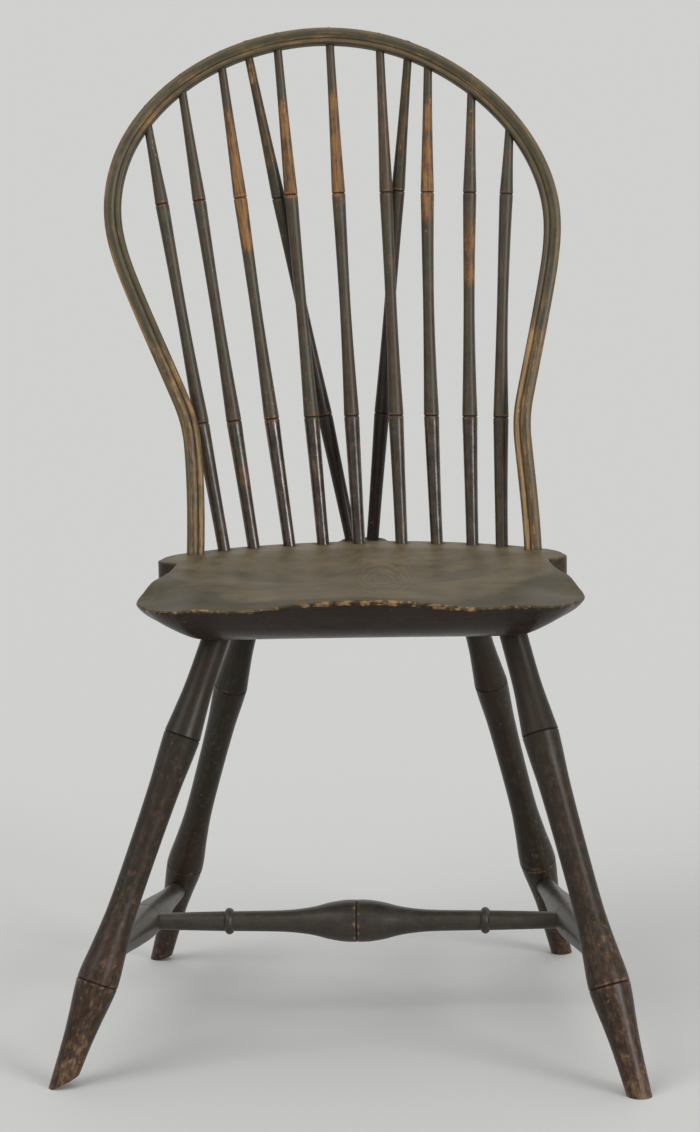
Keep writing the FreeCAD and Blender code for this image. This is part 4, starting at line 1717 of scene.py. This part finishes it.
@dataclass
class Undercarriage:
    """Four splayed legs with an H of stretchers between them."""

    seat: Seat
    top_radius: float = 0.013
    high_ring: float = 0.097
    high_radius: float = 0.0174
    middle_radius: float = 0.014
    low_ring: float = 0.337
    low_radius: float = 0.0196
    foot_radius: float = 0.0108
    rear_share: float = 0.95
    sole_land: float = 0.003
    front_joint: float = 0.715
    rear_joint: float = 0.79
    tenon: float = 0.012
    side_end: float = 0.009
    side_middle: float = 0.017
    cross_end: float = 0.008
    shaft: float = 0.0098
    bulb: float = 0.0208
    bulb_length: float = 0.070
    bead_at: float = 0.1245
    bead: float = 0.0132
    bead_half: float = 0.0045
    cross_step: float = 0.002
    rail_wear: float = 0.15
    cross_wear: float = 0.17
    feet: dict[Corner, Pair] = field(default_factory=lambda: {
        Corner.FRONT_LEFT: (-0.281, -0.203), Corner.FRONT_RIGHT: (0.247, -0.250),
        Corner.REAR_LEFT: (-0.2185, 0.237), Corner.REAR_RIGHT: (0.1995, 0.241)})
    sockets: dict[Corner, Pair] = field(default_factory=lambda: {
        Corner.FRONT_LEFT: (-0.1345, -0.104), Corner.FRONT_RIGHT: (0.141, -0.104),
        Corner.REAR_LEFT: (-0.1095, 0.063), Corner.REAR_RIGHT: (0.1055, 0.063)})
    sole_slants: dict[Corner, float] = field(default_factory=lambda: {
        Corner.FRONT_LEFT: math.radians(24.0), Corner.REAR_LEFT: math.radians(14.0)})

    def ends(self, corner: Corner) -> tuple[Vector, Vector]:
        """Foot on the floor and entry into the seat of a leg."""
        x, y = self.sockets[corner]
        return Vector((*self.feet[corner], 0.0)), Vector((x, y, self.seat.underside_height(y)))

    def leg_runs(self, reach: float) -> list[Run]:
        """Outline of a front leg.

        Args:
            reach: Distance of its last station from the seat.

        Returns:
            Its runs, separated by scored rings.
        """
        top, high, middle = self.top_radius, self.high_radius, self.middle_radius
        low, foot = self.low_radius, self.foot_radius
        upper_at, lower_at = self.high_ring, self.low_ring
        before = [(-0.010, top), (0.0, top), (upper_at * 0.5, top * 1.04),
                  (upper_at * 0.8, high * 0.9)]
        shaft = [(upper_at + 0.020, high * 0.95), (upper_at + 0.050, middle * 1.06),
                 ((upper_at + lower_at) / 2 - 0.010, middle * 0.99),
                 (lower_at - 0.070, middle * 1.01), (lower_at - 0.035, low * 0.85),
                 (lower_at - 0.012, low * 0.97)]
        after = [(lower_at + 0.014, low * 0.94), (lower_at + 0.036, low * 0.8),
                 (lower_at + 0.060, foot * 1.25), (reach, foot)]
        first, rest = scored(upper_at, high, before, shaft)
        return [first] + scored(lower_at, low, rest, after)

    def sole(self, corner: Corner, radius: float) -> list[tuple[Vector, Vector]]:
        """Planes that trim a leg's foot: the floor, and the slant that it is worn to.

        Args:
            corner: The leg.
            radius: Radius of its foot.

        Returns:
            A point of each plane and the direction that is cut away.
        """
        x, y = self.feet[corner]
        cuts = [(Vector((0.0, 0.0, 0.0)), -UP)]
        if corner in self.sole_slants:
            slant = self.sole_slants[corner]
            edge = Vector((x - radius + self.sole_land, y, 0.0))
            cuts.append((edge, Vector((math.sin(slant), 0.0, -math.cos(slant)))))
        return cuts

    def leg(self, shop: Workshop, corner: Corner) -> bpy.types.Object:
        """Make a leg. The rear ones are a little smaller all over.

        Args:
            shop: The workshop that dresses it.
            corner: The corner where it stands.

        Returns:
            The new object.
        """
        foot, top = self.ends(corner)
        length = (foot - top).length
        rear = corner in (Corner.REAR_LEFT, Corner.REAR_RIGHT)
        share = self.rear_share if rear else 1.0

        def wear(distance: float, around: float) -> float:
            """Wear towards the foot and on the side that shoes rub.

            Args:
                distance: Distance from the seat.
                around: Angle round the leg, 0 in front.

            Returns:
                The wear.
            """
            past_high = smooth_step((distance - self.high_ring * share) / 0.03)
            lower = smooth_step((distance - self.low_ring * share + 0.11) / 0.10)
            foot_end = smooth_step((distance - length + 0.07) / 0.08)
            front = 0.10 * bump_at(around, 0.3, 1.4)
            rubbed = (0.09 + front) * past_high + 0.13 * lower
            return 0.10 + rubbed * (0.45 if rear else 1.0) + 0.25 * foot_end

        runs = [[(distance * share, radius * share) for distance, radius in run]
                for run in self.leg_runs(length / share + self.foot_radius)]
        stick = TurnedStick(corner.value, top, foot, runs, Finish.LEG, wear, lip_wear=0.16)
        return stick.make(shop, self.sole(corner, self.foot_radius * share))

    def on_leg(self, corner: Corner, share: float) -> Vector:
        """Point on the axis of a leg, at a share of its length below the seat."""
        foot, top = self.ends(corner)
        return top.lerp(foot, share)

    def side_ends(self, side: Side) -> tuple[Vector, Vector]:
        """Front and rear end of the axis of a side stretcher."""
        front, rear = Corner("front_leg_" + side.value), Corner("rear_leg_" + side.value)
        return self.on_leg(front, self.front_joint), self.on_leg(rear, self.rear_joint)

    def side_rail(self, shop: Workshop, side: Side) -> bpy.types.Object:
        """Make a side stretcher, swollen to a scored ring in its middle.

        Args:
            shop: The workshop that dresses it.
            side: The side that it is on.

        Returns:
            The new object.
        """
        front, rear = self.side_ends(side)
        half = (rear - front).length / 2
        swell = [(-half + self.tenon * 0.5, self.side_end), (-half * 0.62, self.side_end * 1.25),
                 (-half * 0.34, self.side_middle * 0.86), (-half * 0.12, self.side_middle * 0.985)]
        fall = [(-distance, radius) for distance, radius in reversed(swell)]
        runs = scored(0.0, self.side_middle, swell, fall)
        stick = TurnedStick("side_stretcher_" + side.value, (front + rear) / 2, rear, runs,
                            Finish.STRETCHER, lambda distance, around: self.rail_wear,
                            lip_wear=0.2)
        return stick.make(shop)

    def cross_rail(self, shop: Workshop) -> bpy.types.Object:
        """Make the stretcher between the side stretchers: bulb, shafts and a bead on each.

        Args:
            shop: The workshop that dresses it.

        Returns:
            The new object.
        """
        left, right = (sum(self.side_ends(side), Vector()) / 2 for side in Side)
        half = (right - left).length / 2 - self.side_middle + self.tenon
        start, middle, end = (self.bead_half * share - self.bead_at for share in (-1, 0, 1))
        outer = [(-half, self.cross_end), (start, self.shaft)]
        rounding = [(start, self.shaft), (-self.bead_at - self.bead_half * 0.7, self.bead * 0.9),
                    (middle, self.bead), (-self.bead_at + self.bead_half * 0.7, self.bead * 0.9),
                    (end, self.shaft)]
        inner = [(end, self.shaft)]
        inner += [(-self.bulb_length * along, self.shaft * share)
                  for along, share in ((1.15, 1.06), (0.88, 1.16))]
        inner += [(-self.bulb_length * along, self.bulb * share)
                  for along, share in ((0.6, 0.68), (0.38, 0.87), (0.17, 0.985))]
        inner.append((-SCORE_WIDTH / 2, self.bulb))
        halves = [outer, rounding, inner]
        runs = halves + [[(-distance, radius) for distance, radius in reversed(run)]
                         for run in reversed(halves)]
        stick = TurnedStick("cross_stretcher", (left + right) / 2, right, runs, Finish.STRETCHER,
                            lambda distance, around: self.cross_wear, step=self.cross_step)
        return stick.make(shop)

    def make(self, shop: Workshop) -> None:
        """Make the legs and stretchers.

        Args:
            shop: The workshop that dresses them.
        """
        for corner in Corner:
            self.leg(shop, corner)
        for side in Side:
            self.side_rail(shop, side)
        self.cross_rail(shop)


@dataclass(frozen=True)
class Lamp:
    """A far lamp: where it shines from, how strong it is and how wide it looks."""

    name: str
    towards: Vector
    strength: float
    width: float


@dataclass
class Studio:
    """Pale floor, soft light and the camera at the photograph's angle."""

    floor: Colour = (0.66, 0.66, 0.645)
    sky: float = 0.42
    lamps: tuple[Lamp, ...] = (
        Lamp("key", Vector((-0.85, -0.75, 1.10)), 0.80, 34.0),
        Lamp("fill", Vector((0.92, -0.92, 0.40)), 1.48, 24.0),
        Lamp("top", Vector((0.15, -0.25, 1.0)), 0.45, 70.0),
        Lamp("rear", Vector((0.1, 1.0, 0.9)), 0.40, 60.0))
    eye: Vector = Vector((0.0579, -3.3218, 0.9759))
    look: Vector = Vector((-0.01536, 0.98742, -0.15734))
    roll: float = -0.01684
    lens: float = 111.48

    def level(self) -> float:
        """Light that falls on the open floor, where 1 shows a colour as written."""
        falling = (lamp.strength * lamp.towards.normalized().z for lamp in self.lamps)
        return self.sky + sum(falling) / math.pi

    def make_floor(self) -> None:
        """Lay the floor."""
        body = bmesh.new()
        bmesh.ops.create_grid(body, x_segments=1, y_segments=1, size=60.0)
        mesh = bpy.data.meshes.new("floor")
        body.to_mesh(mesh)
        body.free()
        made = bpy.data.objects.new("floor", mesh)
        bpy.context.scene.collection.objects.link(made)
        g = Graph(bpy.data.materials.new("plain_floor"))
        mesh.materials.append(g.finish({"Base Color": self.floor, "Roughness": 1.0,
                                        "Specular IOR Level": 0.0}))

    def make_sky(self) -> None:
        """Give the surroundings an even light, and the camera and gloss an even backdrop."""
        world = bpy.data.worlds.new("studio")
        bpy.context.scene.world = world
        g = Graph(world)
        rays = g.add("ShaderNodeLightPath", {}, {})
        seen, mirrored, clear = (Signal(g, rays.outputs[name]) for name in (
            "Is Camera Ray", "Is Glossy Ray", "Is Transmission Ray"))
        light, backdrop = (
            g.node("ShaderNodeBackground", {}, {"Color": colour, "Strength": strength})
            for colour, strength in (((1.0, 1.0, 1.0), self.sky), (self.floor, self.level())))
        both = g.node("ShaderNodeMixShader", {},
                      {0: seen + mirrored + clear, 1: light, 2: backdrop})
        g.add("ShaderNodeOutputWorld", {}, {"Surface": both})

    def make_lamps(self) -> None:
        """Hang the lamps."""
        for lamp in self.lamps:
            light = bpy.data.lights.new(lamp.name, "SUN")
            light.energy = lamp.strength
            light.angle = math.radians(lamp.width)
            made = bpy.data.objects.new(lamp.name, light)
            made.matrix_world = UP.rotation_difference(lamp.towards).to_matrix().to_4x4()
            bpy.context.scene.collection.objects.link(made)

    def make_camera(self) -> None:
        """Set the camera at the photograph's viewing angle."""
        forward = self.look.normalized()
        right = forward.cross(UP).normalized()
        above = right.cross(forward)
        across = right * math.cos(self.roll) + above * math.sin(self.roll)
        upright = above * math.cos(self.roll) - right * math.sin(self.roll)
        camera = bpy.data.cameras.new("camera")
        camera.sensor_width = 36.0
        camera.lens = self.lens
        made = bpy.data.objects.new("camera", camera)
        turn = Matrix((across, upright, -forward)).transposed().to_4x4()
        made.matrix_world = Matrix.Translation(self.eye) @ turn
        bpy.context.scene.collection.objects.link(made)
        bpy.context.scene.camera = made

    def make(self) -> None:
        """Set up the whole studio."""
        bpy.context.scene.view_settings.view_transform = "Standard"
        self.make_floor()
        self.make_sky()
        self.make_lamps()
        self.make_camera()


def main() -> None:
    """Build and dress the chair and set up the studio."""
    logging.basicConfig(level=logging.INFO, format="%(message)s")
    shop = Workshop()
    seat = Seat()
    bow = Bow(seat)
    back = Back(seat, bow)
    seat.make(shop, [Vector((foot.x, foot.y, 0.0)) for foot in back.feet()])
    bow.make(shop)
    back.make(shop)
    Undercarriage(seat).make(shop)
    shop.carry_over("bow_wedges", Finish.WEDGE)
    shop.carry_over("spindle_wedges", Finish.WEDGE)
    Studio().make()


if __name__ == "__main__":
    main()
